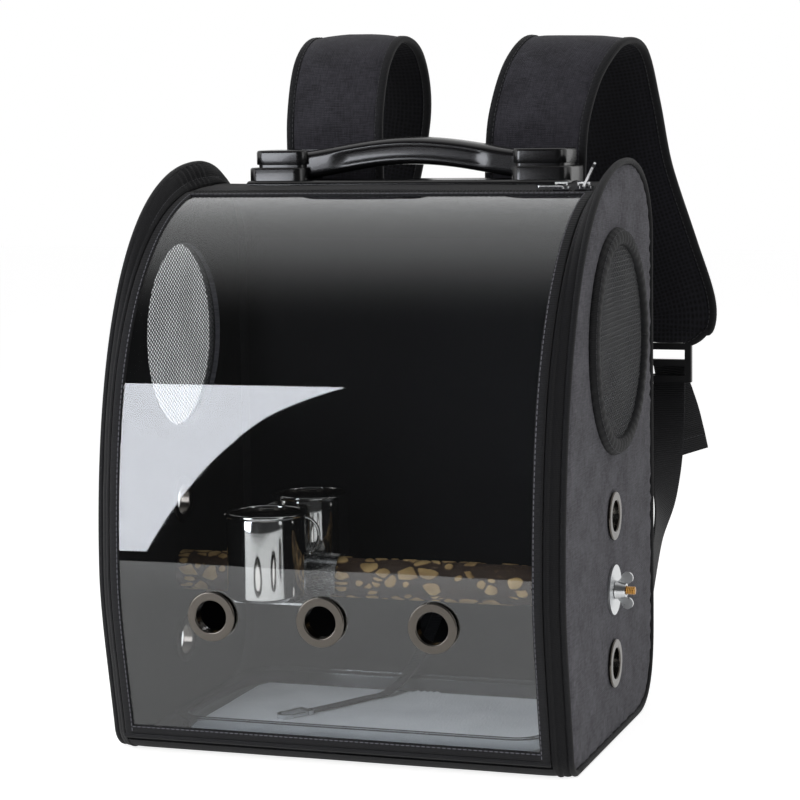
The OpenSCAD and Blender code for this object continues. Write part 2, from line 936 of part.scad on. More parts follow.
module leash_webbing() {
    points = smooth(leash_route, 4);
    wides = smooth(leash_wide, 4);
    color("#101012")
        skin(ribbon(points, wides, leash_w, leash_t, 8));
}

hook_at = last_of(leash_route);
hook_way = unit(hook_at - leash_route[len(leash_route) - 2]);
hook_turn = atan2(hook_way[1], hook_way[0]);
hook_z = pad_top_z + rest_gap;
hook_start = 2.6;

// Places its children at the leash's end, with +X running on along the leash
module at_hook() {
    translate([hook_at[0], hook_at[1], hook_z])
        rotate([0, 0, hook_turn])
            children();
}

// A flat snap hook, drawn in its own plane: an eye bar for the webbing, a side arm and an open bow
eye_l = 4;
eye_half = leash_w / 2 + 2;
wire_w = 3;
wire_t = 3;
bow_x = hook_l - eye_half;

module leash_hook() {
    color(steel)
        at_hook()
            translate([hook_start, 0, 0])
                linear_extrude(wire_t)
                    union() {
                        translate([0, -eye_half])
                            square([eye_l, 2 * eye_half]);
                        translate([0, -eye_half])
                            square([bow_x, wire_w]);
                        difference() {
                            translate([bow_x, 0])
                                circle(r = eye_half);
                            translate([bow_x, 0])
                                circle(r = eye_half - wire_w);
                            translate([bow_x - 2 * eye_half, -eye_half - 1])
                                square([2 * eye_half, 2 * eye_half + 2]);
                        }
                    }
}

gate_w = 2;
gate_y = eye_half - gate_w / 2 - 0.5;
gate_pivot_x = eye_l + gate_w / 2 + run_gap + 0.2;

// The hook's sprung gate closes the bow; it turns beside the eye bar
module leash_gate() {
    color(steel)
        at_hook()
            translate([hook_start + gate_pivot_x, gate_y, 0.5])
                linear_extrude(wire_t - 1)
                    union() {
                        circle(d = gate_w + 0.4, $fn = 32);
                        translate([0, -gate_w / 2])
                            square([bow_x - gate_pivot_x - run_gap, gate_w]);
                    }
}

// ---- Shoulder straps ----
// Both straps leave the top behind the handle, loop back and hang behind the bag.
// Each route is [x, y, z]; the right strap falls outward past the bag's side.
strap_root_y = 115;
strap_root_z = back_top_z + 22;
strap_route_right = [
    [80, strap_root_y, strap_root_z],
    [80, strap_root_y, 398],
    [82, strap_root_y + 4, 434],
    [89, strap_root_y + 22, 470],
    [99, 166, 489],
    [106, 204, 480],
    [111, 227, 440],
    [120, 236, 386],
    [141, 230, 324],
    [155, 221, 286],
    [156, 219, 268],
    [156, 219, 260]
];
strap_wide_right = [
    [1, 0, 0], [1, 0, 0], [1, 0.02, 0], [1, 0.05, -0.02], [1, 0.04, -0.04], [1, 0, 0.05],
    [1, -0.05, 0.12], [1, -0.1, 0.14], [1, -0.06, 0.12], [1, -0.02, 0.1], [1, 0, 0], [1, 0, 0]
];
strap_route_left = [
    [-76, strap_root_y, strap_root_z],
    [-76, strap_root_y, 400],
    [-77, strap_root_y + 4, 438],
    [-77, strap_root_y + 22, 476],
    [-75, 168, 494],
    [-72, 204, 484],
    [-74, 227, 444],
    [-88, 236, 386],
    [-104, 230, 324],
    [-114, 221, 286],
    [-115, 219, 268],
    [-115, 219, 260]
];
strap_wide_left = [
    [1, 0, 0], [1, 0, 0], [1, 0, 0], [1, 0.03, 0], [1, 0.02, 0], [1, 0, -0.05],
    [1, 0.03, -0.1], [1, 0.06, -0.14], [1, 0.05, -0.12], [1, 0.02, -0.1], [1, 0, 0], [1, 0, 0]
];
strap_steps = 3;

// The strap keeps its width and draws in over its last part, where the ladder lock is sewn
function strap_half(i, last) =
    let (left = last - i)
        left > 5 ? strap_w / 2 : ease(webbing_w / 2 + 4, strap_w / 2, sin(90 * left / 6));

module strap_pad(points, wides) {
    last = len(points) - 1;
    color("#35343a")
        difference() {
            skin([
                for (i = [0 : last])
                    placed(points[i], run_way(points, i), wides[i],
                        pill(2 * (strap_half(i, last) - strap_edge), strap_t, 12))
            ]);
            bag_core(-rest_gap);
        }
}

module strap_binding(points, wides) {
    last = len(points) - 1;
    color(fabric_black)
        difference() {
            for (side = [-1, 1])
                skin([
                    for (i = [0 : last])
                        let (
                            way = run_way(points, i),
                            wide = unit(wides[i] - (wides[i] * way) * way),
                            middle = strap_half(i, last) - strap_edge / 2 + rest_gap
                        )
                            placed(points[i] + wide * side * middle, way, wide,
                                pill(strap_edge, strap_edge, 8))
                ]);
            bag_core(-rest_gap);
        }
}

module strap_pad_left() {
    strap_pad(smooth(strap_route_left, strap_steps), smooth(strap_wide_left, strap_steps));
}

module strap_pad_right() {
    strap_pad(smooth(strap_route_right, strap_steps), smooth(strap_wide_right, strap_steps));
}

module strap_binding_left() {
    strap_binding(smooth(strap_route_left, strap_steps), smooth(strap_wide_left, strap_steps));
}

module strap_binding_right() {
    strap_binding(smooth(strap_route_right, strap_steps), smooth(strap_wide_right, strap_steps));
}

function strap_end(side) = last_of(side == RIGHT ? strap_route_right : strap_route_left);
lock_h = 30;
lock_t = 5;
lock_bar = 5;
lock_w = webbing_w + 12;

// A three-bar buckle that hangs from the pad's end
module ladder_lock(side) {
    end = strap_end(side);
    slot_h = (lock_h - 3 * lock_bar) / 2;
    color("#0b0b0c")
        translate([end[0], end[1], end[2] - run_gap - rest_gap - lock_h / 2])
            difference() {
                cube([lock_w, lock_t, lock_h], center = true);
                for (way = [-1, 1])
                    translate([0, 0, way * (slot_h + lock_bar) / 2])
                        cube([webbing_w + 2, lock_t + 2, slot_h], center = true);
            }
}

anchor_low_z = 48;
anchor_high_z = 98;
anchor_x = band_out_x - 2;
anchor_reach = 30;

// The triangular tab sewn into the rear seam, that the webbing runs down to
module strap_anchor(side) {
    color(fabric_black)
    on_side(side)
        across(anchor_x - webbing_t, anchor_x)
            polygon([
                [rear_y - 1 + rest_gap, anchor_low_z], [rear_y - 1 + rest_gap, anchor_high_z],
                [rear_y + anchor_reach, anchor_high_z + 16], [rear_y + anchor_reach + 6, anchor_high_z - 8]
            ]);
}

function webbing_route(side) =
    let (
        end = strap_end(side),
        out = (lock_t + webbing_t) / 2 + rest_gap,
        tab = side * (anchor_x + webbing_t / 2 + rest_gap)
    )
        [
            [end[0], end[1] + out, end[2] - lock_h + lock_bar],
            [end[0], end[1] + out, end[2] - lock_h - 8],
            [ease(end[0], tab, 0.35), end[1] - 6, 190],
            [ease(end[0], tab, 0.75), end[1] - 22, 150],
            [tab, rear_y + anchor_reach + 10, 120],
            [tab, rear_y + 12, 86]
        ];
function webbing_wides(side) = [
    [1, 0, 0], [1, 0, 0], [0.9, 0.3, 0.1], [0.5, 0.8, 0], [0.05, 1, -0.6], [0, 1, -0.9]
];

module strap_webbing(side) {
    color("#101012")
        skin(ribbon(smooth(webbing_route(side), 4), smooth(webbing_wides(side), 4), webbing_w, webbing_t, 8));
}

// The free end of the webbing hangs behind, folded over at its tip
function tail_route(side) =
    let (end = strap_end(side), top = end[2] - lock_h + lock_bar)
        [
            [end[0], end[1] + (lock_t + webbing_t) / 2 + rest_gap, top + 9],
            [end[0] + side * 2, end[1] + lock_t + 4, top - 6],
            [end[0] + side * 10, end[1] + lock_t + 12, top - 36],
            [end[0] + side * 16, end[1] + lock_t + 14, top - 62]
        ];
tail_wides = [[1, 0, 0], [1, 0.1, 0], [0.9, 0.5, 0], [0.8, 0.6, 0]];

module webbing_tail(side) {
    color("#101012")
        skin(ribbon(smooth(tail_route(side), 4), smooth(tail_wides, 4), webbing_w, webbing_t, 8));
}

// ---- Zipper sliders ----
slider_l = 11;
slider_w = 8;
slider_h = 4;
slider_t = ease(window_end, zip_end, 0.5) + 0.001;
slider_at = recessed(front_station(slider_t), 0);
slider_way = recessed(front_station(slider_t + 0.01), 0) - recessed(front_station(slider_t - 0.01), 0);
slider_out = left_of(slider_way);
slider_turn = atan2(slider_out[1], slider_out[0]) - 90;
slider_a_x = door_half - 25;
slider_b_x = door_half - 9;
pull_lean = 62;

// Places its children on the top run of the zipper, with +Z standing out of the bag
module on_top_zipper(x) {
    translate([x, slider_at[0], slider_at[1]])
        rotate([slider_turn, 0, 0])
            children();
}

// The slider's body, with a bridge over it that the pull turns under
module zip_slider(x) {
    bridge_w = 2;
    color(steel)
        on_top_zipper(x)
            rotate([90, 0, 0])
                union() {
                    translate([0, 0, -slider_w / 2])
                        linear_extrude(slider_w)
                            translate([-slider_l / 2, rest_gap])
                                square([slider_l, slider_h / 2]);
                    translate([0, 0, -bridge_w / 2])
                        linear_extrude(bridge_w)
                            difference() {
                                translate([-slider_l / 2 + 1, rest_gap + slider_h / 2])
                                    square([slider_l - 2, slider_h]);
                                translate([-slider_l / 2 + 2.2, rest_gap + slider_h / 2])
                                    square([slider_l - 4.4, slider_h - 1.2]);
                            }
                }
}

// The pull turns on a bar under the slider's bridge; at rest it lies along the zipper or leans on the rim
module zip_pull(x, turn) {
    bar_r = 0.8;
    eye = 2.6;
    pull_w = 6;
    pull_l = 19;
    color(steel)
        on_top_zipper(x)
            translate([0, 0, rest_gap + slider_h / 2 + bar_r + 0.3])
                rotate([0, -turn, 0])
                    union() {
                        rotate([90, 0, 0])
                            cylinder(r = bar_r, h = pull_w - 1, center = true, $fn = 32);
                        translate([0, 0, -bar_r])
                            linear_extrude(2 * bar_r)
                                difference() {
                                    union() {
                                        translate([-bar_r, -pull_w / 2])
                                            square([pull_l - pull_w / 2, pull_w]);
                                        translate([pull_l - pull_w / 2 - bar_r, 0])
                                            circle(d = pull_w, $fn = 48);
                                    }
                                    translate([bar_r, -eye / 2])
                                        square([6, eye]);
                                    translate([-2 * bar_r, -eye / 2])
                                        square([bar_r, eye]);
                                    translate([pull_l - pull_w / 2 - bar_r, 0])
                                        circle(d = 3, $fn = 32);
                                }
                    }
}

side_panel(LEFT);  // side_panel_left
side_panel(RIGHT);  // side_panel_right
piping(LEFT);  // piping_left
piping(RIGHT);  // piping_right
side_band(LEFT);  // side_band_left
side_band(RIGHT);  // side_band_right
mesh_ring(LEFT);  // mesh_ring_left
mesh_ring(RIGHT);  // mesh_ring_right
mesh(LEFT);  // mesh_left
mesh(RIGHT);  // mesh_right
side_eyelets(LEFT);  // side_eyelets_left
side_eyelets(RIGHT);  // side_eyelets_right
base_panel();
back_panel();
top_panel();
front_sill();
frame_zipper();
window_sheet();
window_binding();
door_zipper();
window_eyelets();
handle_base();
handle_housing(LEFT);  // handle_housing_left
handle_housing(RIGHT);  // handle_housing_right
handle_grip();
perch();
perch_bolt(LEFT);  // perch_bolt_left
perch_bolt(RIGHT);  // perch_bolt_right
washer(LEFT);  // washer_left
washer(RIGHT);  // washer_right
wing_nut(LEFT);  // wing_nut_left
wing_nut(RIGHT);  // wing_nut_right
cup_bracket();
cup(-1, 40);  // cup_front
cup(1, 220);  // cup_back
tray();
tray_pad();
leash_webbing();
leash_hook();
leash_gate();
strap_pad_left();
strap_pad_right();
strap_binding_left();
strap_binding_right();
ladder_lock(LEFT);  // ladder_lock_left
ladder_lock(RIGHT);  // ladder_lock_right
strap_webbing(LEFT);  // strap_webbing_left
strap_webbing(RIGHT);  // strap_webbing_right
webbing_tail(LEFT);  // webbing_tail_left
webbing_tail(RIGHT);  // webbing_tail_right
strap_anchor(LEFT);  // strap_anchor_left
strap_anchor(RIGHT);  // strap_anchor_right
zip_slider(slider_a_x);  // zip_slider_a
zip_pull(slider_a_x, 180);  // zip_pull_a
zip_slider(slider_b_x);  // zip_slider_b
zip_pull(slider_b_x, pull_lean);  // zip_pull_b
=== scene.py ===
# %% [markdown]
# # A backpack carrier for birds, dressed around its CAD model
#
# The carrier is a soft bag with a drop-down clear window, round net windows, a bark perch, two
# steel cups, a tray, a suitcase handle and shoulder straps. The CAD model gives every piece its
# place and its motion. This lesson gives each piece its cloth, plastic, metal or wood, and builds
# finer meshes wherever the CAD solid is only a plain stand-in.
#
# Lengths in this script are millimetres, in the CAD model's frame. One function, `piece`, turns
# them into Blender's metres when a mesh is made.

# %% Load the frame
import json
import math

import bpy
import numpy as np
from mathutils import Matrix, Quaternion, Vector, geometry, noise

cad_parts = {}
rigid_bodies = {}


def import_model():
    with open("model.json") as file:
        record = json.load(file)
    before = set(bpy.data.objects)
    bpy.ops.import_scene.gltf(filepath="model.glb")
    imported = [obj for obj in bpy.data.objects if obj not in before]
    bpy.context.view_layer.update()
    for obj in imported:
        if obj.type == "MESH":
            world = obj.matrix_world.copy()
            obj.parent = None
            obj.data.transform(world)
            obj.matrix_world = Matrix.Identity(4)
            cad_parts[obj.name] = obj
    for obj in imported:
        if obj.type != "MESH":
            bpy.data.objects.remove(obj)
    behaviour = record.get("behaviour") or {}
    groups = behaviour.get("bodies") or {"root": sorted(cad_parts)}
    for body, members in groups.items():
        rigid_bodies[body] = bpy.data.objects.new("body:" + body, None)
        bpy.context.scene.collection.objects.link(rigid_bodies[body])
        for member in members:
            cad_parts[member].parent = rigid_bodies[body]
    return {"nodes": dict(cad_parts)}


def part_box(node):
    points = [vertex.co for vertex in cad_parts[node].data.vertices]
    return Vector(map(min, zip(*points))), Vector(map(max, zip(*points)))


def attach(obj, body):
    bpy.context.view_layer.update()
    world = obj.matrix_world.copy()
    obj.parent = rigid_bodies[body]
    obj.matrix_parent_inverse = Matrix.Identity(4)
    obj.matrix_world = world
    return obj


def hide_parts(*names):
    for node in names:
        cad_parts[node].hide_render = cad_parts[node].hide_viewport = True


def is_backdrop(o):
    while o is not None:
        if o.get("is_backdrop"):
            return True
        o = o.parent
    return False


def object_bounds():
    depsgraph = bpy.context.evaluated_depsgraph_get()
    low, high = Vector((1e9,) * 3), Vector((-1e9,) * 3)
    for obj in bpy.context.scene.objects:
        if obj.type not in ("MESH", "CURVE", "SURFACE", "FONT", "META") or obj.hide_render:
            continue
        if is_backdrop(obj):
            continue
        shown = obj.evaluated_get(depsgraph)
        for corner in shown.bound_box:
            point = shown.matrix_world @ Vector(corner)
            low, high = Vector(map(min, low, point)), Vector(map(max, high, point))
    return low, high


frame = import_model()
cad_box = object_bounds()

# %% [markdown]
# ## Camera
#
# The photograph was taken with a long lens from the bag's right, a little above the handle's
# height. The place and the focal length were found by matching the bag's corners, and the picture
# is square, so one sensor width holds for both sides.

# %% Camera
SENSOR = 36.0
PICTURE = 800
FOCAL_PIXELS = 2506
CAMERA_AT = (570.5, -1667.6, 439.2)
CAMERA_LOOKS_AT = (11.3, 0, 236.7)
CAMERA_ROLL = math.radians(-0.8)

lens = bpy.data.cameras.new("camera")
lens.sensor_width = SENSOR
lens.lens = SENSOR * FOCAL_PIXELS / PICTURE
lens.clip_start = 0.01
camera = bpy.data.objects.new("camera", lens)
bpy.context.scene.collection.objects.link(camera)
camera.location = Vector(CAMERA_AT) / 1000
way = Vector(CAMERA_LOOKS_AT) - Vector(CAMERA_AT)
camera.rotation_mode = "QUATERNION"
camera.rotation_quaternion = way.to_track_quat("-Z", "Y") @ Quaternion((0, 0, 1), CAMERA_ROLL)
bpy.context.scene.camera = camera
print("focal length", round(lens.lens, 1), "mm")

# %% [markdown]
# ## Meshes
#
# Cloth tapes, tubes, cups and pads are all rings of points joined into a skin, so one function,
# `loft`, joins rings. Flat panels with round holes are cut with a triangulation instead. Each
# cloth mesh also keeps an attribute called `cloth`: how far each point lies along and across the
# cut cloth, in metres. The weaves read it, so their threads follow the cloth and not the room.

# %% Make a piece from points
scene_objects = bpy.context.scene.collection.objects


def piece(name, points, faces, finish, body="bag", replaces=(), cloth=None, smooth=60):
    """Makes a mesh from points in millimetres, gives it a finish and lets it ride on a body."""
    mesh = bpy.data.meshes.new(name)
    mesh.from_pydata((np.asarray(points, float) / 1000).tolist(), [], [list(f) for f in faces])
    mesh.validate()
    if cloth is not None:
        attribute = mesh.attributes.new("cloth", "FLOAT_VECTOR", "POINT")
        flat = np.zeros((len(points), 3), np.float32)
        flat[:, : np.shape(cloth)[1]] = np.asarray(cloth) / 1000
        attribute.data.foreach_set("vector", flat.ravel())
    for polygon in mesh.polygons:
        polygon.use_smooth = True
    mesh.set_sharp_from_angle(angle=math.radians(smooth))
    mesh.materials.append(finish)
    made = bpy.data.objects.new(name, mesh)
    scene_objects.link(made)
    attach(made, body)
    if replaces:
        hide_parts(*replaces)
    return made


def loft(rings, looped=False, closed=True):
    """Joins rings of equal count. The ends are closed with a fan unless the rings loop or stay open."""
    rings = np.asarray(rings, float)
    rows, count = rings.shape[:2]
    points = rings.reshape(-1, 3)
    faces = []
    for i in range(rows if looped else rows - 1):
        low = i * count
        high = ((i + 1) % rows) * count
        for j in range(count):
            k = (j + 1) % count
            faces.append((low + j, low + k, high + k, high + j))
    if closed and not looped:
        ends = np.array([rings[0].mean(0), rings[-1].mean(0)])
        first = len(points)
        points = np.vstack([points, ends])
        last_row = (rows - 1) * count
        for j in range(count):
            k = (j + 1) % count
            faces.append((first, k, j))
            faces.append((first + 1, last_row + j, last_row + k))
    return points, faces


def full_turn(count):
    """Angles round a full circle, in equal steps."""
    return np.linspace(0, 2 * np.pi, count, endpoint=False)


def squarish(turn, side_power, up_power):
    """A unit circle pulled towards a square: the lower the power, the squarer."""
    across, up = np.cos(turn), np.sin(turn)
    return np.sign(across) * np.abs(across) ** side_power, np.sign(up) * np.abs(up) ** up_power


def round_ring(turn, side, up, radius):
    """A ring of points in the plane of two directions."""
    return radius * (np.outer(np.cos(turn), side) + np.outer(np.sin(turn), up))


def joined(parts):
    """Puts several (points, faces) together as one mesh."""
    points = []
    faces = []
    start = 0
    for part_points, part_faces in parts:
        points.append(np.asarray(part_points, float))
        faces.extend(tuple(v + start for v in f) for f in part_faces)
        start += len(part_points)
    return np.vstack(points), faces


def box_mm(node):
    """Lowest and highest corner of a CAD node, in millimetres."""
    low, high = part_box(node)
    return np.array(low) * 1000, np.array(high) * 1000


# %% [markdown]
# ## The bag's outline
#
# Both side panels share one outline, drawn in (y, z): a tight front corner, the bulging front,
# the crest, the shoulder, the straight back and the round heel. The window stands 8 mm out of
# that rim at the bottom and sinks 18 mm below it at the crest, and the back lies 4 mm below it.
# So each station keeps its point, its outward normal and its share of the recess. The sizes come
# from the frame's boxes.

# %% Outline of the side panels
RIM_INSET = 1.0
PIPING_R = 2.4
CORNER_IN = 36.0
TOE_REACH = 42.0
TOE_EASE = 32.0
SHOULDER_EASE = 38.0
SHOULDER_DROP = 60.0
HEEL_RISE = 60.0
HEEL_RUN = 50.0
PANEL_INSET = 2 * PIPING_R + 0.3
panel_low, panel_high = box_mm("side_panel_right")
front_y = panel_low[1] - PANEL_INSET
rear_y = panel_high[1] + PANEL_INSET
crest_z = panel_high[2] + PANEL_INSET
bag_depth = rear_y - front_y
RECESS = 18.0
BACK_SHARE = 4.0 / RECESS
PROUD_SHARE = -8.0 / RECESS
SINK_FROM = 0.3
CORNER_R = 18.0
CORNER_TURN = math.radians(80)
bulge_z = 0.32 * crest_z
crest_y = 0.215 * bag_depth

corner_centre = np.array([front_y + CORNER_IN, CORNER_R])
corner_end = corner_centre + CORNER_R * np.array([-math.sin(CORNER_TURN), -math.cos(CORNER_TURN)])
corner_way = np.array([-math.cos(CORNER_TURN), math.sin(CORNER_TURN)])
# Each curve is four control points, rows of (y, z)
toe_curve = [
    corner_end,
    corner_end + TOE_REACH * corner_way,
    (front_y, bulge_z - TOE_EASE),
    (front_y, bulge_z),
]
front_curve = [
    (front_y, bulge_z),
    (front_y, bulge_z + 0.28 * crest_z),
    (front_y + 0.13 * bag_depth, crest_z),
    (crest_y, crest_z),
]
shoulder_curve = [
    (crest_y, crest_z),
    (crest_y + SHOULDER_EASE, crest_z),
    (rear_y, crest_z - SHOULDER_DROP / 3),
    (rear_y, crest_z - SHOULDER_DROP),
]
heel_curve = [
    (rear_y, HEEL_RISE),
    (rear_y, HEEL_RISE / 3),
    (rear_y - 0.3 * HEEL_RUN, 0),
    (rear_y - HEEL_RUN, 0),
]
WINDOW_END = 0.87
ZIP_END = 0.902


def soft_step(value, low, high):
    """0 below low, 1 above high and smooth between."""
    t = np.clip((np.asarray(value, float) - low) / (high - low), 0, 1)
    return t * t * (3 - 2 * t)


def front_share(t):
    """Share of the recess along the front curve: proud below, sinking towards the crest."""
    return PROUD_SHARE + (1 - PROUD_SHARE) * soft_step(t, SINK_FROM, 1)


def bezier_run(curve, start, end, count, share):
    """Stations along a curve: rows of y, z, normal y, normal z and share of the recess."""
    a, b, c, d = (np.array(p, float) for p in curve)
    t = np.linspace(start, end, count)[:, None]
    at = (1 - t) ** 3 * a + 3 * t * (1 - t) ** 2 * b + 3 * t * t * (1 - t) * c + t**3 * d
    going = (1 - t) ** 2 * (b - a) + 2 * t * (1 - t) * (c - b) + t * t * (d - c)
    going /= np.linalg.norm(going, axis=1)[:, None]
    out = np.column_stack([-going[:, 1], going[:, 0]])
    return np.hstack([at, out, np.broadcast_to(share(t), t.shape)])


def corner_run(count):
    """Stations round the tight front corner, from the base up."""
    turn = np.linspace(0, CORNER_TURN, count)
    out = np.column_stack([-np.sin(turn), -np.cos(turn)])
    share = PROUD_SHARE * (turn / CORNER_TURN) ** 2
    return np.hstack([corner_centre + CORNER_R * out, out, share[:, None]])


def straight_run(a, b, count):
    """Stations on the straight line between two stations."""
    return a + (b - a) * np.linspace(0, 1, count)[:, None]


def along_run(*runs):
    """Joins runs end to end, dropping each doubled station."""
    return np.vstack([runs[0]] + [r[1:] for r in runs[1:]])


def sunk(run, depth):
    """Points of a run, a depth below the rim."""
    return run[:, :2] - run[:, 2:4] * np.reshape(depth, (-1, 1))


def recessed(run, depth):
    """Points of a run, a depth below the recessed surface."""
    return sunk(run, run[:, 4] * RECESS + depth)


corner = corner_run(14)
toe = bezier_run(toe_curve, 0, 1, 24, lambda t: PROUD_SHARE)
front = bezier_run(front_curve, 0, WINDOW_END, 70, front_share)
above_window = bezier_run(front_curve, WINDOW_END, ZIP_END, 5, front_share)
crest = bezier_run(front_curve, ZIP_END, 1, 20, front_share)
shoulder = bezier_run(shoulder_curve, 0, 1, 26, lambda t: 1 + (BACK_SHARE - 1) * t)
heel = bezier_run(heel_curve, 0, 1, 20, lambda t: BACK_SHARE * (1 - t))
back = straight_run(shoulder[-1], heel[0], 36)
base = straight_run(heel[-1], corner[0], 24)
window_run = along_run(toe, front)
top_run = along_run(crest, shoulder)
rim_run = along_run(corner, window_run, above_window, top_run, back, heel, base)[:-1]
print("outline stations:", len(rim_run), "depth", round(bag_depth), "height", round(crest_z))

# %% [markdown]
# ## Planes across the bag
#
# The carrier is the same on both sides, so each piece that stands to one side needs only its
# distance from the middle plane. These distances come from the frame's boxes.

# %% Distances from the middle plane
panel_in_x, panel_out_x = panel_low[0], panel_high[0]
PANEL_T = panel_out_x - panel_in_x
piping_x = panel_out_x + 0.8 - PIPING_R
band_in_x, band_out_x = (corner_box[0] for corner_box in box_mm("side_band_right"))
BAND_T = 2.4
door_half = box_mm("window_binding")[1][0]
BINDING_W = 7.0
window_half = door_half - BINDING_W
SHEET_T = 1.0
BINDING_TOP = 1.2
HINGE_R = 2.2
hinge_yz = recessed(window_run[:1], SHEET_T / 2)[0]


def bag_point(x, yz):
    """Rows of (x, y, z) from x values and rows of (y, z)."""
    yz = np.asarray(yz, float)
    return np.column_stack([np.broadcast_to(x, len(yz)), yz])


def arc_length(points):
    """Running length along a line of points."""
    steps = np.linalg.norm(np.diff(points, axis=0), axis=1)
    return np.concatenate([[0], np.cumsum(steps)])


print("window", round(2 * window_half), "mm wide, fold line at", hinge_yz.round(1))
# %% [markdown]
# ## Colours and nodes
#
# Colours are written as sRGB hex codes, the way a colour picker shows them. Shaders work with
# linear light, so `linear` turns one into the other. `add_node` adds any node with its settings
# and links, and `new_finish` starts a material on one Principled shader, whose even values are
# set on its own sockets.

# %% Colour, node and material helpers
WAVE_SCALE = 314.16  # A wave texture of this scale repeats every millimetre


def linear(code):
    """Linear RGBA of an sRGB hex colour such as #808080."""
    parts = [int(code[i : i + 2], 16) / 255 for i in (1, 3, 5)]
    return [p / 12.92 if p <= 0.04045 else ((p + 0.055) / 1.055) ** 2.4 for p in parts] + [1.0]


def add_node(tree, kind, inputs=None, stops=None, **settings):
    """Adds a node: settings are its own, inputs are values or sockets, stops are a ramp's colours."""
    made = tree.nodes.new("ShaderNode" + kind)
    for key, value in settings.items():
        setattr(made, key, value)
    for key, value in (inputs or {}).items():
        if isinstance(value, bpy.types.NodeSocket):
            tree.links.new(value, made.inputs[key])
        else:
            made.inputs[key].default_value = value
    if stops:
        ramp = made.color_ramp
        while len(ramp.elements) < len(stops):
            ramp.elements.new(1.0)
        for element, (position, code) in zip(ramp.elements, stops):
            element.position = position
            element.color = linear(code)
    return made


def new_finish(name, colour, roughness, **more):
    """A material on one Principled shader; more names its other sockets, with _ for a space."""
    made = bpy.data.materials.new(name)
    made.use_nodes = True
    tree = made.node_tree
    shader = tree.nodes["Principled BSDF"]
    shader.inputs["Base Color"].default_value = linear(colour)
    shader.inputs["Roughness"].default_value = roughness
    for key, value in more.items():
        shader.inputs[key.replace("_", " ")].default_value = value
    return made, tree, shader


def relief(tree, shader, height, depth_mm, strength=1.0):
    """Bumps the shader's normal by a height socket, from 0 to depth_mm."""
    bump = add_node(tree, "Bump", {"Height": height, "Distance": depth_mm / 1000, "Strength": strength})
    tree.links.new(bump.outputs["Normal"], shader.inputs["Normal"])


def speckle(tree, where, size_mm, detail=2.0, stretch=(1, 1, 1)):
    """Noise whose grains are about size_mm across, longer where stretch is over 1."""
    scale = [1000 / (size_mm * s) for s in stretch]
    spread = add_node(tree, "Mapping", {"Vector": where, "Scale": scale})
    grains = {"Vector": spread.outputs["Vector"], "Scale": 1.0, "Detail": detail}
    return add_node(tree, "TexNoise", grains).outputs["Fac"]


def weave(tree, thread_mm):
    """The cloth's own coordinates, and the height of a plain weave with threads every thread_mm."""
    cloth = cloth_place(tree)
    bands = []
    for direction in "XY":
        threads = {"Vector": cloth, "Scale": WAVE_SCALE / thread_mm, "Distortion": 0.5, "Detail": 1.0}
        bands.append(add_node(tree, "TexWave", threads, bands_direction=direction).outputs["Fac"])
    crossed = add_node(tree, "Math", {0: bands[0], 1: bands[1]}, operation="MULTIPLY")
    return cloth, crossed.outputs["Value"]


def object_place(tree):
    """The shader coordinates that stand still on a piece, in metres."""
    return add_node(tree, "TexCoord").outputs["Object"]


def cloth_place(tree):
    """How far a point lies along and across its cut cloth."""
    return add_node(tree, "Attribute", attribute_name="cloth").outputs["Vector"]


def tint(tree, shader, share, stops):
    """Colours the shader by a share socket, through a ramp of (position, colour) stops."""
    blend = add_node(tree, "ValToRGB", {"Fac": share}, stops)
    tree.links.new(blend.outputs["Color"], shader.inputs["Base Color"])


# %% [markdown]
# ## Cloth finishes
#
# The side panels and the straps are heathered polyester: yarn spun from dark and light fibres,
# in a plain weave, which gives short streaks along both thread directions and a dull sheen. The
# real threads are about 0.6 mm apart, too fine to show, so they are drawn every 1.3 mm.

# %% Heathered polyester
HEATHER_THREAD = 1.3


def heathered_polyester(name, dark, light, mottle=24):
    """Plain-woven yarn of dark and light fibres: streaky and matt, with cloudy patches."""
    made, tree, shader = new_finish(name, dark, 0.88, Sheen_Weight=0.08, Specular_IOR_Level=0.25)
    cloth, height = weave(tree, HEATHER_THREAD)
    warp = speckle(tree, cloth, HEATHER_THREAD, 2, (1, 6, 1))
    weft = speckle(tree, cloth, HEATHER_THREAD, 2, (6, 1, 1))
    clouds = speckle(tree, cloth, mottle, 3)
    yarn = add_node(tree, "Math", {0: warp, 1: weft}, operation="ADD")
    both = add_node(tree, "Math", {0: yarn.outputs[0], 1: clouds}, operation="ADD")
    share = add_node(tree, "MapRange", {"Value": both.outputs[0], "From Min": 1.1, "From Max": 1.9})
    tint(tree, shader, share.outputs[0], [(0.1, dark), (0.9, light)])
    relief(tree, shader, height, 0.25)
    return made


side_heather = heathered_polyester("heathered_polyester_grey", "#38373c", "#5d5c62")
strap_heather = heathered_polyester("heathered_polyester_dark", "#19181d", "#2d2c32")

# %% [markdown]
# The band, the top, the back and the base are plain black polyester, a tighter weave whose thread crests
# are painted
# brighter: a painted highlight where the threads catch the light. The bindings are grosgrain tape: flat
# tape with ribs across it, their crests painted brighter the same way. The real ribs are 0.5 mm apart and
# are drawn every 1.1 mm.

# %% Black polyester, grosgrain tape and webbing


def plain_cloth(name, colour, highlight_colour, thread_mm, roughness=0.8, sheen=0.05):
    """A dense plain weave in one colour, with a painted highlight: its thread crests are painted
    brighter.
    """
    made, tree, shader = new_finish(name, colour, roughness, Sheen_Weight=sheen, Specular_IOR_Level=0.2)
    cloth, height = weave(tree, thread_mm)
    clouds = speckle(tree, cloth, 12, 3)
    # A painted highlight: the weave's high crests are painted brighter, made uneven by cloud noise.
    painted_highlight = add_node(tree, "Math", {0: height, 1: clouds}, operation="MULTIPLY")
    tint(tree, shader, painted_highlight.outputs[0], [(0.1, colour), (0.8, highlight_colour)])
    relief(tree, shader, height, 0.2)
    return made


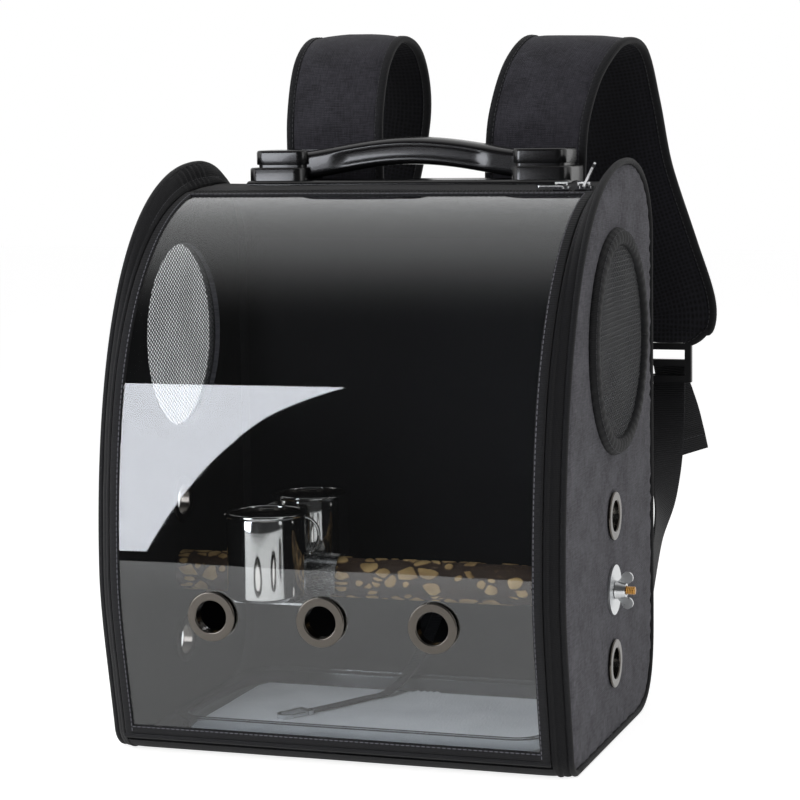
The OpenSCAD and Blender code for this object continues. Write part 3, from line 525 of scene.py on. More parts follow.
def ribbed_tape(name, colour, highlight_colour, rib_mm, roughness, depth_mm=0.15, direction="X"):
    """Tape or webbing: ribs that cross it every rib_mm, with a painted highlight on their crests."""
    made, tree, shader = new_finish(name, colour, roughness, Sheen_Weight=0.03, Specular_IOR_Level=0.25)
    cloth = cloth_place(tree)
    ribs = {"Vector": cloth, "Scale": WAVE_SCALE / rib_mm, "Distortion": 0.3, "Detail": 1.0}
    height = add_node(tree, "TexWave", ribs, bands_direction=direction).outputs["Fac"]
    fibres = speckle(tree, cloth, 0.8, 2, (1, 5, 1))
    # A painted highlight: the rib crests are painted brighter, made uneven by fibre noise.
    painted_highlight = add_node(tree, "Math", {0: height, 1: fibres}, operation="MULTIPLY")
    tint(tree, shader, painted_highlight.outputs[0], [(0.1, colour), (0.7, highlight_colour)])
    relief(tree, shader, height, depth_mm)
    return made


black_polyester = plain_cloth("woven_polyester_black", "#0c0c0e", "#1b1b1f", 1.2)
binding_tape = ribbed_tape("grosgrain_tape_black", "#08080a", "#17171a", 1.1, 0.68)
webbing = ribbed_tape("polypropylene_webbing_black", "#0b0b0d", "#1e1e22", 1.5, 0.6, 0.3)
zip_tape = ribbed_tape("zipper_tape_black", "#09090a", "#1d1d20", 1.0, 0.7)
thread = new_finish("polyester_thread_black", "#26262a", 0.6)[0]
pale_thread = new_finish("polyester_thread_grey", "#55555c", 0.6)[0]

# %% [markdown]
# Inside, the panels are coated: a smooth film over cloth, dark, with slow waves that only its soft
# gloss shows.

# %% Coated lining
lining, tree, shader = new_finish("coated_lining_black", "#09090b", 0.7, Specular_IOR_Level=0.16)
relief(tree, shader, speckle(tree, object_place(tree), 28, 1), 0.8)

# %% [markdown]
# The straps are lined with spacer mesh, a thick knit with round pores in rows, painted darker in the
# pores as painted shade. The net of the side windows is a smooth nylon thread, and the floor pad is felt:
# pressed pale fibres, fuzzy and matt.

# %% Spacer mesh, net and felt
spacer_mesh, tree, shader = new_finish("spacer_mesh_black", "#08080b", 0.85, Specular_IOR_Level=0.25)
cloth = cloth_place(tree)
PORE_PITCH = 3.2  # The real pores are about 2 mm apart, drawn coarser so that they show
pores = add_node(tree, "TexVoronoi", {"Vector": cloth, "Scale": 1000 / PORE_PITCH, "Randomness": 0.15})
# Painted shade: the pores, the hollows of the relief, are painted darker than the knit round them.
tint(tree, shader, pores.outputs["Distance"], [(0.1, "#020203"), (0.5, "#141419")])
relief(tree, shader, pores.outputs["Distance"], 0.8)

net_thread = new_finish("nylon_net_thread_black", "#1c1c1f", 0.5, Sheen_Weight=0.1)[0]

felt, tree, shader = new_finish("pressed_felt_grey", "#e2e3e6", 0.95, Sheen_Weight=0.4)
place = object_place(tree)
fibres = speckle(tree, place, 1.6, 4, (1, 3, 1))
stains = speckle(tree, place, 40, 3)
tint(tree, shader, stains, [(0.3, "#d6d7db"), (0.7, "#ececef")])
relief(tree, shader, fibres, 0.5)

# %% [markdown]
# ## Clear plastics
#
# The window is pressed PVC sheet: clear, smooth, a little grey, with a reflection that grows at a
# glancing view. Light has to reach the cabin through it, and a path tracer loses light behind
# glass, so a shadow ray meets a plain clear surface instead. The tray is moulded PET, a little
# cloudy.

# %% Clear sheet and tray


def clear_plastic(name, colour, roughness, ior, lets_through):
    """Clear plastic that lets the lamps' light through to what is behind it."""
    made, tree, shader = new_finish(name, colour, roughness, IOR=ior, Transmission_Weight=1.0)
    output = tree.nodes["Material Output"]
    open_way = add_node(tree, "BsdfTransparent", {"Color": linear(lets_through)})
    is_shadow = add_node(tree, "LightPath").outputs["Is Shadow Ray"]
    mixed = {0: is_shadow, 1: shader.outputs["BSDF"], 2: open_way.outputs["BSDF"]}
    tree.links.new(add_node(tree, "MixShader", mixed).outputs[0], output.inputs["Surface"])
    return made


clear_pvc = clear_plastic("pressed_pvc_clear", "#eef1f3", 0.015, 1.5, "#e6eaec")
tray_pet = clear_plastic("moulded_pet_cloudy", "#dfe3e6", 0.12, 1.45, "#ccd0d4")

# %% [markdown]
# ## Metals
#
# A metal takes its colour from its reflection, so each is fully metallic with its own tint. The
# eyelets are steel pressed and plated with dark nickel, the washers and wing nuts are zinc-plated
# and slightly dull, the bolts are turned brass, and the cups are polished stainless steel, which
# mirrors the room in upright stripes.

# %% Metals


def metal(name, colour, roughness, grain_mm, depth_mm, stretch=(1, 1, 1)):
    """A metal with fine uneven polish or plating, of grains about grain_mm across."""
    made, tree, shader = new_finish(name, colour, roughness, Metallic=1.0)
    grains = speckle(tree, object_place(tree), grain_mm, 3, stretch)
    spread = {"Value": grains, "To Min": roughness * 0.7, "To Max": roughness * 1.4}
    rough = add_node(tree, "MapRange", spread)
    tree.links.new(rough.outputs[0], shader.inputs["Roughness"])
    relief(tree, shader, grains, depth_mm)
    return made


dark_nickel = metal("nickel_plated_steel", "#57534e", 0.2, 5, 0.05)
zinc = metal("zinc_plated_steel", "#d3d5d6", 0.3, 2.5, 0.03)
brass = metal("turned_brass", "#b98a4a", 0.28, 1.5, 0.03)
cup_steel = metal("polished_stainless_steel", "#c4c2bf", 0.09, 9, 0.02, (1, 1, 4))
bracket_steel = metal("brushed_stainless_steel", "#bdbdbd", 0.24, 0.5, 0.02, (8, 1, 1))
chrome = metal("chromed_zinc", "#cfd0d2", 0.12, 4, 0.02)

# %% [markdown]
# ## Moulded plastic
#
# The handle is injection-moulded ABS with a high gloss, and the buckles are acetal from a mould
# with a fine spark texture. Both are nearly black, so what the eye reads is the highlight.

# %% Moulded plastics


def moulded(name, colour, roughness, grain_mm, depth_mm, **more):
    """Moulded plastic: even colour, with a fine mould texture or slow waves in its gloss."""
    made, tree, shader = new_finish(name, colour, roughness, **more)
    relief(tree, shader, speckle(tree, object_place(tree), grain_mm, 2), depth_mm)
    return made


gloss_abs = moulded("moulded_abs_gloss_black", "#09090a", 0.24, 14, 0.06, Coat_Weight=0.15)
matt_acetal = moulded("moulded_acetal_matt_black", "#0e0e10", 0.42, 0.7, 0.05)
# %% [markdown]
# ## Studio
#
# The bag stands on a white table in a white studio with a dark room beyond the camera. The
# backdrop is the world: white for what the camera sees, straight or through clear plastic. What
# mirrors see falls from white behind the bag to dark behind the camera. The table's front
# edge shows in the window's mirror image, so the table ends where the photograph says. Soft light
# comes from three large panels.

# %% World


def highest(tree, *sockets):
    """The higher of two values."""
    return add_node(tree, "Math", dict(enumerate(sockets)), operation="MAXIMUM").outputs[0]


def multiplied(tree, value, share):
    """A value times another."""
    return add_node(tree, "Math", {0: value, 1: share}, operation="MULTIPLY").outputs[0]


bpy.context.scene.view_settings.view_transform = "Standard"
TABLE_FRONT = -980
world = bpy.data.worlds.new("studio")
bpy.context.scene.world = world
world.use_nodes = True
tree = world.node_tree
tree.nodes.clear()
seen = add_node(tree, "LightPath")
facing = add_node(tree, "TexCoord").outputs["Generated"]
away = add_node(tree, "SeparateXYZ", {"Vector": facing}).outputs["Y"]
DARK_UNTIL = -0.62
WHITE_FROM = 0.3
STRAIGHT_FROM = 0.5
WHITE_GLOW = 0.9
ROOM_GLOW = 0.05
FILL_LEVEL = 0.35
fall = {"Value": away, "From Min": DARK_UNTIL, "From Max": WHITE_FROM}
fall.update({"To Min": ROOM_GLOW, "To Max": WHITE_GLOW})
mirror_level = add_node(tree, "MapRange", fall, interpolation_type="SMOOTHERSTEP")
mirrored = highest(tree, seen.outputs["Is Glossy Ray"], seen.outputs["Is Transmission Ray"])
level = {0: mirrored, 2: FILL_LEVEL, 3: mirror_level.outputs[0]}
studio_level = add_node(tree, "Mix", level, data_type="FLOAT")
studio = add_node(tree, "Background", {"Strength": studio_level.outputs[0]})
white = add_node(tree, "Background", {"Color": linear("#ffffff"), "Strength": 1.0})
studio.inputs["Color"].default_value = linear("#ffffff")
straight_on = {"Value": away, "From Min": WHITE_FROM, "From Max": STRAIGHT_FROM}
straight_on = add_node(tree, "MapRange", straight_on).outputs[0]
through = multiplied(tree, seen.outputs["Is Transmission Ray"], straight_on)
direct = highest(tree, seen.outputs["Is Camera Ray"], through)
mixed = {0: direct, 1: studio.outputs[0], 2: white.outputs[0]}
shown = add_node(tree, "MixShader", mixed)
add_node(tree, "OutputWorld", {"Surface": shown.outputs[0]})

# %% Table and lamps


def flat_stage(name, corners):
    """A flat piece of the studio, with corners in millimetres."""
    mesh = bpy.data.meshes.new(name)
    mesh.from_pydata([tuple(v / 1000 for v in corner) for corner in corners], [], [(0, 1, 2, 3)])
    made = bpy.data.objects.new(name, mesh)
    scene_objects.link(made)
    made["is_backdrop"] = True
    return made


TABLE_HALF = 4000
TABLE_REAR = 6000
table_z = cad_box[0][2]
table_front = [(-TABLE_HALF, TABLE_FRONT), (TABLE_HALF, TABLE_FRONT)]
table_rear = [(TABLE_HALF, TABLE_REAR), (-TABLE_HALF, TABLE_REAR)]
table = flat_stage("table", [(x, y, table_z * 1000) for x, y in table_front + table_rear])

tabletop, tree, shader = new_finish("white_table", "#f2f2f2", 0.9)
MIRRORED_SHARE = 0.8
seen = add_node(tree, "LightPath")
mirrored = highest(tree, seen.outputs["Is Glossy Ray"], seen.outputs["Is Transmission Ray"])
looked_at = highest(tree, seen.outputs["Is Camera Ray"], multiplied(tree, mirrored, MIRRORED_SHARE))
TABLE_WHITE = 0.45
TABLE_GLOW = 1.8
share = multiplied(tree, looked_at, TABLE_WHITE)
glow = add_node(tree, "Emission", {"Strength": TABLE_GLOW})
mixed = {0: share, 1: shader.outputs[0], 2: glow.outputs[0]}
table_surface = add_node(tree, "MixShader", mixed)
tree.links.new(table_surface.outputs[0], tree.nodes["Material Output"].inputs["Surface"])
table.data.materials.append(tabletop)


def light_panel(name, at, aim, width, height, power):
    """A soft rectangular lamp at a place, in millimetres, that faces another."""
    data = bpy.data.lights.new(name, "AREA")
    data.shape = "RECTANGLE"
    data.size = width / 1000
    data.size_y = height / 1000
    data.energy = power
    made = bpy.data.objects.new(name, data)
    scene_objects.link(made)
    made.location = Vector(at) / 1000
    made.rotation_mode = "QUATERNION"
    made.rotation_quaternion = (Vector(aim) - Vector(at)).to_track_quat("-Z", "Y")
    return made


lamp_top = light_panel("lamp_top", (0, -150, 1500), (0, 0, 300), 1300, 1100, 6)
lamp_top.visible_glossy = False
lamp_top.visible_transmission = False
lamp_front = light_panel("lamp_front", (-250, -1500, 900), (0, 0, 60), 900, 700, 16)
lamp_front.visible_glossy = False
lamp_front.visible_transmission = False
light_panel("lamp_left", (-1500, -700, 800), (0, 0, 230), 700, 1300, 4.5)
light_panel("lamp_right", (1500, -600, 800), (0, 0, 230), 700, 1300, 4.8)

# %% [markdown]
# A white panel stands beyond the table's front edge, to the left. Only mirrors see it: it gives
# the window its large white reflection, with a straight leaning edge.

# %% Reflected panel
PANEL_Y = -1100
PANEL_GLOW = 8.4
panel_corners = [(-1050, 15), (-556, 15), (-388, 790), (-1050, 790)]
panel = flat_stage("reflected_panel", [(x, PANEL_Y, z) for x, z in panel_corners])
panel.visible_camera = False
panel.visible_diffuse = False
panel.visible_shadow = False
panel_white, tree, shader = new_finish("white_studio_panel", "#ffffff", 0.9)
shader.inputs["Emission Color"].default_value = linear("#f4f7ff")
shader.inputs["Emission Strength"].default_value = PANEL_GLOW
panel.data.materials.append(panel_white)
print("table at z", round(table_z * 1000, 2), "mm")
# %% [markdown]
# ## Side panels
#
# Each side is a padded panel of heathered cloth with a bound round window, two eyelets and the
# perch's bolt through it. A flat triangulated sheet takes the holes well: it is cut in the plane,
# and then a thickness and a height are given to its points. The cloth dips at its seams, puckers
# a little where the piping pulls on it and sags very slightly between.

# %% Cut a sheet with round holes


def circle(centre, radius, count):
    """Points round a circle in the plane."""
    turn = full_turn(count)
    return np.column_stack([centre[0] + radius * np.cos(turn), centre[1] + radius * np.sin(turn)])


def outline_gap(points, outline):
    """How far each point lies from an outline."""
    return np.array([np.min(np.hypot(*(outline - p).T)) for p in points])


def cut_sheet(outline, holes, spacing, staggered=True):
    """Triangulates the inside of an outline, less round holes given as (centre, radius)."""
    loops = [outline] + [circle(c, r, max(24, int(r * 2))) for c, r in holes]
    low, high = outline.min(0), outline.max(0)
    across, up = np.meshgrid(np.arange(low[0], high[0], spacing), np.arange(low[1], high[1], spacing))
    across[1::2] += spacing / 2 if staggered else 0
    grid = np.column_stack([across.ravel(), up.ravel()])
    clear = np.min([np.hypot(*(grid - c).T) - r for c, r in holes] or [np.full(len(grid), 99)], axis=0)
    away = outline_gap(grid, outline)
    grid = grid[(clear > spacing * 0.5) & (away > spacing * 0.5)]
    points = np.vstack(loops + [grid])
    edges = []
    start = 0
    for loop in loops:
        edges += [(start + i, start + (i + 1) % len(loop)) for i in range(len(loop))]
        start += len(loop)
    only_inside = 1
    found = geometry.delaunay_2d_cdt([Vector(p) for p in points], edges, [], only_inside, 1e-6)
    flat = np.array([tuple(v) for v in found[0]])
    faces = [f for f in found[2] if not in_hole(flat[list(f)].mean(0), holes)]
    return flat, faces


def in_hole(point, holes):
    """Whether a point lies in one of the round holes."""
    return any(np.hypot(*(point - c)) < r for c, r in holes)


def thick_sheet(flat, faces, outer, inner):
    """Closes two surfaces over the same flat sheet with walls round its edges."""
    count = len(flat)
    sides = {}
    for f in faces:
        for a, b in zip(f, f[1:] + f[:1]):
            sides[(a, b)] = True
    skin = [tuple(f) for f in faces] + [tuple(count + v for v in reversed(f)) for f in faces]
    skin += [(b, a, count + a, count + b) for a, b in sides if (b, a) not in sides]
    used = sorted({v for f in skin for v in f})
    new_place = {v: i for i, v in enumerate(used)}
    points = np.vstack([outer, inner])[used]
    return points, [tuple(new_place[v] for v in f) for f in skin], np.vstack([flat, flat])[used]


def wave_noise(points, size, seed):
    """Smooth noise from -1 to 1 at rows of points, with features about size across."""
    points = np.column_stack([points, np.zeros((len(points), 3 - np.shape(points)[1]))]) / size
    return np.array([noise.noise(Vector(p) + Vector((seed, seed * 1.7, 0))) for p in points])


def line_inside(made, finish, is_inner):
    """Gives the faces of a piece that look into the cabin their own finish."""
    made.data.materials.append(finish)
    for polygon, inner in zip(made.data.polygons, is_inner):
        polygon.material_index = int(inner)


# %% Side panels
MESH_YZ = np.array([18.0, 279.0])
MESH_D = 134.0
PERCH_YZ = np.array([5.0, 107.0])
EYELET_RISE = 52.0
EYELET_HOLE = 25.9
BOLT_HOLE = 6.8
SIDES = ((-1, "left"), (1, "right"))
side_eyelets = [PERCH_YZ + (0, EYELET_RISE), PERCH_YZ - (0, EYELET_RISE)]
panel_outline = sunk(rim_run, PANEL_INSET)
panel_holes = [(MESH_YZ, MESH_D / 2), (PERCH_YZ, BOLT_HOLE / 2)]
panel_holes += [(c, EYELET_HOLE / 2) for c in side_eyelets]
panel_flat, panel_faces = cut_sheet(panel_outline, panel_holes, 4.5)
edge_gap = outline_gap(panel_flat, panel_outline)
rim_turn = np.array([np.argmin(np.hypot(*(panel_outline - p).T)) for p in panel_flat])
rim_length = arc_length(np.vstack([panel_outline, panel_outline[:1]]))
RING_RIM_R = MESH_D / 2 + 12
ring_gap = np.abs(np.hypot(*(panel_flat - MESH_YZ).T) - RING_RIM_R)
eyelet_gap = np.min([np.hypot(*(panel_flat - c).T) for c in side_eyelets], axis=0)
print("side panel:", len(panel_flat), "points")


def panel_height(seed):
    """How far the cloth stands below (-) or over (+) the panel's flat face, in millimetres."""
    roll = -1.5 * (1 - soft_step(edge_gap, 0, 7)) ** 1.6
    pucker = 0.3 * np.sin(rim_length[rim_turn] / 13 * 2 * np.pi + 2 * wave_noise(panel_flat, 60, seed))
    pucker *= 1 - soft_step(edge_gap, 3, 22)
    sag = 0.9 * wave_noise(panel_flat, 95, seed + 5) * soft_step(edge_gap, 4, 40)
    near_ring = 1 - soft_step(ring_gap, 0, 14)
    near_eyelet = 1 - soft_step(eyelet_gap, 17, 26)
    held = np.clip(near_ring + near_eyelet, 0, 1)
    return roll + pucker + sag * (1 - held) - 0.35 * near_eyelet - 0.3 * near_ring


for side, label in SIDES:
    height = panel_height(3 + side)
    outer = np.column_stack([side * (panel_out_x + np.minimum(height, 0.5)), panel_flat])
    inner = np.column_stack([np.full(len(panel_flat), side * panel_in_x), panel_flat])
    faces = panel_faces if side > 0 else [tuple(reversed(f)) for f in panel_faces]
    points, skin, cloth = thick_sheet(panel_flat, faces, outer, inner)
    name = f"side_panel_{label}"
    made = piece(name + "_cloth", points, skin, side_heather, "bag", [name], cloth)
    count = len(panel_faces)
    line_inside(made, lining, [count <= k < 2 * count for k in range(len(skin))])

# %% [markdown]
# ## Stitches
#
# A seam reads by its stitches: short, slightly proud threads with a dip between. Each is a small
# closed capsule, laid along a line of points at an even pitch. The real pitch is about 3 mm.

# %% Stitch rows
STITCH_PITCH = 3.6
STITCH_R = 0.32
ROUND_SAFE = 1e-6  # A row that fits a whole number of stitches always gets them all


def stitches(line, out, pitch=STITCH_PITCH, radius=STITCH_R, length=0.72):
    """Capsules along a line; out is the outward direction at each of its points."""
    line = np.asarray(line, float)
    run = arc_length(line)
    count = max(1, int(run[-1] / pitch + ROUND_SAFE))
    centres = (np.arange(count) + 0.5) * run[-1] / count
    turn = full_turn(6)
    half = run[-1] / count * length / 2
    parts = []
    for centre in centres:
        at = np.array([[np.interp(centre + s, run, line[:, k]) for k in range(3)] for s in (-half, half)])
        up = np.array([np.interp(centre, run, np.asarray(out)[:, k]) for k in range(3)])
        going = (at[1] - at[0]) / np.linalg.norm(at[1] - at[0])
        side = np.cross(going, up)
        side /= np.linalg.norm(side)
        up = np.cross(side, going)
        rings = []
        for share, swell in ((0.0, 0.5), (0.2, 1.0), (0.8, 1.0), (1.0, 0.5)):
            middle = at[0] + (at[1] - at[0]) * share
            spread = np.outer(np.cos(turn), side) + 0.8 * np.outer(np.sin(turn), up)
            rings.append(middle + radius * swell * spread)
        parts.append(loft(rings))
    return joined(parts)


# %% [markdown]
# ## Piping and bands
#
# The piping is a cord in a folded tape, sewn between the side panel and the band. The band is a
# strip of doubled cloth that slopes down to the window like a storm flap over the zipper: crowned
# in its middle, stitched down near its free edge and turned under there. Over the crest it
# gathers into small folds, because it is longer there than the curve that it lies on.

# %% Piping
PIPING_SIDES = 12


def piping(side):
    """A covered cord round one side panel's rim."""
    centre = sunk(rim_run, PIPING_R)
    turn = full_turn(PIPING_SIDES)
    rings = []
    for (y, z), (ny, nz) in zip(centre, rim_run[:, 2:4]):
        out = PIPING_R * 0.98 * np.sin(turn)
        x = side * (piping_x + PIPING_R * np.cos(turn))
        rings.append(np.column_stack([x, y + ny * out, z + nz * out]))
    rings = rings if side < 0 else [r[::-1] for r in rings]
    run = arc_length(bag_point(0, centre))
    cloth = [(s, PIPING_R * a) for s in run for a in turn]
    return *loft(rings, looped=True), cloth


for side, label in SIDES:
    points, faces, cloth = piping(side)
    name = f"piping_{label}"
    piece(name + "_tape", points, faces, binding_tape, "bag", [name], cloth)

# %% Bands
BAND_TUCK = 1.3  # The band goes on this far under the piping, so no gap shows
BAND_CLOTH_W = 15.0
FOLD_PITCH = 9.0
GATHER_BEFORE = 25.0
GATHER_REACH = 42.0
GROOVE_AT = 0.66


def band_section(fold):
    """Rows of (share of the way from rim to free edge, height over the band's own plane)."""
    across = np.linspace(0, 1, 17)
    crown = 1.2 * np.sin(np.pi * np.clip(across / GROOVE_AT, 0, 1)) ** 0.7
    hem = 1.1 * np.sin(np.pi * np.clip((across - GROOVE_AT) / (1 - GROOVE_AT), 0, 1)) ** 0.6
    height = np.where(across < GROOVE_AT, crown, hem) * 0.9 - 0.2 + fold * np.sin(np.pi * across) ** 0.5
    under = np.linspace(1, 0, 9)
    return np.column_stack([np.r_[across, under], np.r_[height, np.full(9, -BAND_T)]])


def band(side):
    """The sloping flap on one side, with its rim edge at the piping and its free edge at the window."""
    run_points = sunk(rim_run, RIM_INSET)
    length = arc_length(bag_point(0, run_points))
    behind = (rim_run[:, 0] - crest_y + GATHER_BEFORE) / GATHER_REACH
    at_crest = np.exp(-(behind**2)) * (rim_run[:, 1] > crest_z - SHOULDER_DROP)
    folds = 0.8 * at_crest * np.sin(length / FOLD_PITCH * 2 * np.pi)
    folds += 0.35 * wave_noise(length[:, None], 17, side + 2)
    rings = []
    for k, station in enumerate(rim_run):
        row = station[None]
        rim = np.r_[side * (band_out_x + BAND_TUCK), sunk(row, RIM_INSET)[0]]
        low = np.r_[side * band_in_x, recessed(row, 0)[0]]
        slope = low - rim
        out = np.array([0, station[2], station[3]])
        out = out - slope * (out @ slope) / (slope @ slope)
        out /= np.linalg.norm(out)
        section = band_section(folds[k])
        ring = rim + section[:, :1] * slope + section[:, 1:] * out
        ring[:, 0] = side * np.clip(side * ring[:, 0], band_in_x, band_out_x + BAND_TUCK)
        rings.append(ring if side < 0 else ring[::-1])
    across = np.r_[np.linspace(0, BAND_CLOTH_W, 17), np.linspace(BAND_CLOTH_W, 0, 9)]
    across = across if side < 0 else across[::-1]
    cloth = [(s, a) for s in length for a in across]
    return *loft(rings, looped=True), cloth


def band_line(side, share, lift):
    """A line along a band at a share of its width, with its outward directions."""
    rim = bag_point(side * band_out_x, sunk(rim_run, RIM_INSET))
    low = bag_point(side * band_in_x, recessed(rim_run, 0))
    out = np.column_stack([np.zeros(len(rim_run)), rim_run[:, 2:4]])
    line = rim + (low - rim) * share + out * lift
    return line, out


for side, label in SIDES:
    points, faces, cloth = band(side)
    name = f"side_band_{label}"
    piece(name + "_cloth", points, faces, black_polyester, "bag", [name], cloth)
    line, out = band_line(side, GROOVE_AT, -0.05)
    points, faces = stitches(line, out)
    piece(f"band_stitches_{label}", points, faces, thread, "bag")
print("band stitches:", len(faces) // 30)

# %% [markdown]
# ## Panels across the bag
#
# The sill, the base, the back and the top are strips that follow the outline from side to side.
# One function makes them all: each station gives a ring of points, over the cloth and back under
# it, and a height map lifts the outer face. The back is quilted: spacer mesh over foam, sewn
# through in channels, so it swells between its seams. The rest is flat cloth with slack.

# %% Strips from side to side


def strip(run, across, lift, depth):
    """A sheet over a run of stations; lift(x, s) is the outer face's height, depth its inner face."""
    length = arc_length(bag_point(0, recessed(run, 0)))
    rings = []
    cloth = []
    for station, s in zip(run, length):
        row = np.repeat(station[None], len(across), axis=0)
        outer = bag_point(across, recessed(row, -lift(across, s)))
        inner = bag_point(across, recessed(row, depth))
        rings.append(np.vstack([outer, inner[::-1]]))
        cloth += [(s, x) for x in across] + [(s, x) for x in across[::-1]]
    points, faces = loft(rings)
    middles = [(0, 0), (length[-1], 0)]
    return points, [tuple(reversed(f)) for f in faces], cloth + middles


def edge_fall(x, half, drop, width=5):
    """How far the cloth falls near its two side edges."""
    return -drop * (1 - soft_step(half - np.abs(x), 0, width))


def slack(x, s, size, height, seed):
    """Loose cloth: slow waves of the given size and height."""
    points = np.column_stack([x, np.full(len(x), s)])
    return height * wave_noise(points, size, seed)


QUILT_PITCH = 58.0


def back_quilt(x, s):
    """Foam channels: two upright pads sewn through at every quilt pitch, over a flat middle."""
    back_length = crest_z - (SHOULDER_DROP + HEEL_RISE)
    channel = np.abs(np.sin(np.pi * s / QUILT_PITCH)) ** 0.45
    pad = soft_step(130 - np.abs(x), 0, 14) * soft_step(np.abs(x), 22, 34)
    ends = soft_step(s, 0, 12) * soft_step(back_length - s, 0, 12)
    return 3.2 * channel * pad * ends + edge_fall(x, band_in_x, 0.8)


def line_strip(made, across):
    """Gives a strip's inner face, the second half of each ring, the lining."""
    count = len(across)
    faces = len(made.data.polygons)
    line_inside(made, lining, [count <= k % (2 * count) < 2 * count - 1 for k in range(faces)])


def top_slack(x, s):
    """The top sags a little between the handle and its seams."""
    return slack(x, s, 60, 0.5, 8) - 0.3 + edge_fall(x, band_in_x, 0.5)


def sill_slack(x, s):
    """The sill is nearly taut."""
    return slack(x, s, 40, 0.15, 2) + edge_fall(x, band_in_x, 0.5)


def base_slack(x, s):
    """The base lies just inside its seams."""
    return -0.4 + edge_fall(x, band_in_x, 0.5)


across_bag = np.linspace(-band_in_x, band_in_x, 90)


def panel_across(name, node, run, lift, finish=black_polyester):
    """A lined panel from side to side, in place of a CAD panel."""
    points, faces, cloth = strip(run, across_bag, lift, PANEL_T)
    made = piece(name, points, faces, finish, "bag", [node], cloth)
    line_strip(made, across_bag)
    return made


panel_across("front_sill_cloth", "front_sill", corner[:-2], sill_slack)
panel_across("base_cloth", "base_panel", along_run(heel, base), base_slack)
back_run = straight_run(shoulder[-1], heel[0], 120)
back_pad = panel_across("back_pad_mesh", "back_panel", back_run, back_quilt, spacer_mesh)
top_cloth = panel_across("top_cloth", "top_panel", top_run, top_slack)
print("panels across the bag:", len(top_cloth.data.polygons), "faces on the top")

# %% [markdown]
# ## Clear window
#
# The window is one sheet of pressed PVC, bent over the front of the bag. It is cut flat, with its
# three eyelet holes, on a square grid, and then each point is laid on the bag's curve. Real sheet
# is never quite flat, and its mirror image shows the smallest wave, so it gets a wave of a fifth
# of a millimetre. A regular grid keeps that image free of facets.

# %% Window sheet
window_line = recessed(window_run, 0)
window_s = arc_length(bag_point(0, window_line))


def on_window(x, s, depth):
    """Points of the window at distances x across and s up its curve, a depth below its face."""
    rows = np.column_stack([np.interp(s, window_s, window_run[:, k]) for k in range(5)])
    rows[:, 2:4] /= np.linalg.norm(rows[:, 2:4], axis=1)[:, None]
    return bag_point(x, recessed(rows, depth))


WINDOW_EYELETS_X = (-78.0, 0.0, 78.0)
EYELET_Z = 104.0
SHEET_TUCK = 4.0
HINGE_CUT = 3.4
TOP_CUT = 2.0
eyelet_s = np.interp(EYELET_Z, window_line[:, 1], window_s)
half = window_half + SHEET_TUCK
low_s, high_s = HINGE_CUT, window_s[-1] - TOP_CUT
edge_x = np.linspace(-half, half, 48)
edge_s = np.linspace(low_s, high_s, 58)
sheet_outline = np.vstack([
    np.column_stack([edge_x, np.full(48, low_s)])[:-1],
    np.column_stack([np.full(58, half), edge_s])[:-1],
    np.column_stack([edge_x[::-1], np.full(48, high_s)])[:-1],
    np.column_stack([np.full(58, -half), edge_s[::-1]])[:-1],
])
sheet_holes = [(np.array([x, eyelet_s]), EYELET_HOLE / 2) for x in WINDOW_EYELETS_X]
sheet_flat, sheet_faces = cut_sheet(sheet_outline, sheet_holes, 6.2, staggered=False)
sheet_wave = 0.2 * wave_noise(sheet_flat, 130, 6)
outer = on_window(sheet_flat[:, 0], sheet_flat[:, 1], -sheet_wave)
inner = on_window(sheet_flat[:, 0], sheet_flat[:, 1], SHEET_T - sheet_wave)
points, skin, cloth = thick_sheet(sheet_flat, sheet_faces, outer, inner)
piece("window_sheet_pvc", points, skin, clear_pvc, "window", ["window_sheet"], cloth)
print("window sheet:", round(2 * half), "x", round(high_s - low_s), "mm")

# %% [markdown]
# ## Window binding
#
# A tape is folded over the sheet's four edges and stitched through. A flat section with rounded
# folds is swept up both sides and across the top and the bottom; at the bottom it ends in the
# round bead that the door folds on.

# %% Binding
BINDING_UNDER = SHEET_T + BINDING_TOP
TAPE_PUCKER = 0.0144


def folded_section(width, top, under, lean=0.25):
    """A tape's closed section, as rows of (way across, depth): round at both folds, crowned on top."""
    turn = full_turn(20)
    middle = (under - top) / 2
    across, up = squarish(turn, 0.45, 0.7)
    across = across * width / 2
    depth = -up * middle
    return np.column_stack([width / 2 + across, top + middle + depth + lean * (across / width) ** 2])


def binding_side(side):
    """The binding up one side of the window."""
    section = folded_section(BINDING_W, -BINDING_TOP, BINDING_UNDER)
    rings = []
    for s in np.linspace(0, window_s[-1], 110):
        pucker = TAPE_PUCKER * np.sin(s / STITCH_PITCH * 2 * np.pi)
        x = side * (window_half + section[:, 0])
        rings.append(on_window(x, np.full(len(section), s), section[:, 1] + pucker))
    rings = rings if side > 0 else [r[::-1] for r in rings]
    return loft(rings)


def binding_across(from_s, to_s):
    """The binding across the window between two distances up its curve."""
    section = folded_section(to_s - from_s, -BINDING_TOP, BINDING_UNDER)
    rings = []
    for x in np.linspace(-window_half - 2, window_half + 2, 60):
        rings.append(on_window(np.full(len(section), x), from_s + section[:, 0], section[:, 1]))
    return loft([r[::-1] for r in rings])


def round_bar(start, end, radius, sides=16, rings=2):
    """A round bar between two points."""
    start, end = np.array(start, float), np.array(end, float)
    way = (end - start) / np.linalg.norm(end - start)
    side = np.cross(way, (0, 0, 1) if abs(way[2]) < 0.9 else (1, 0, 0))
    side /= np.linalg.norm(side)
    up = np.cross(way, side)
    turn = full_turn(sides)
    ring = round_ring(turn, side, up, radius)
    return loft([start + (end - start) * share + ring for share in np.linspace(0, 1, rings)])


bead = round_bar((-door_half, *hinge_yz), (door_half, *hinge_yz), HINGE_R, 18, 60)
bottom = binding_across(1.6, 8.2)
top = binding_across(window_s[-1] - BINDING_W, window_s[-1])
points, faces = joined([binding_side(-1), binding_side(1), bottom, top, bead])
cloth = points[:, [2, 0]]
piece(
    "window_binding_tape", points, faces, binding_tape, "window", ["window_binding"], cloth
)


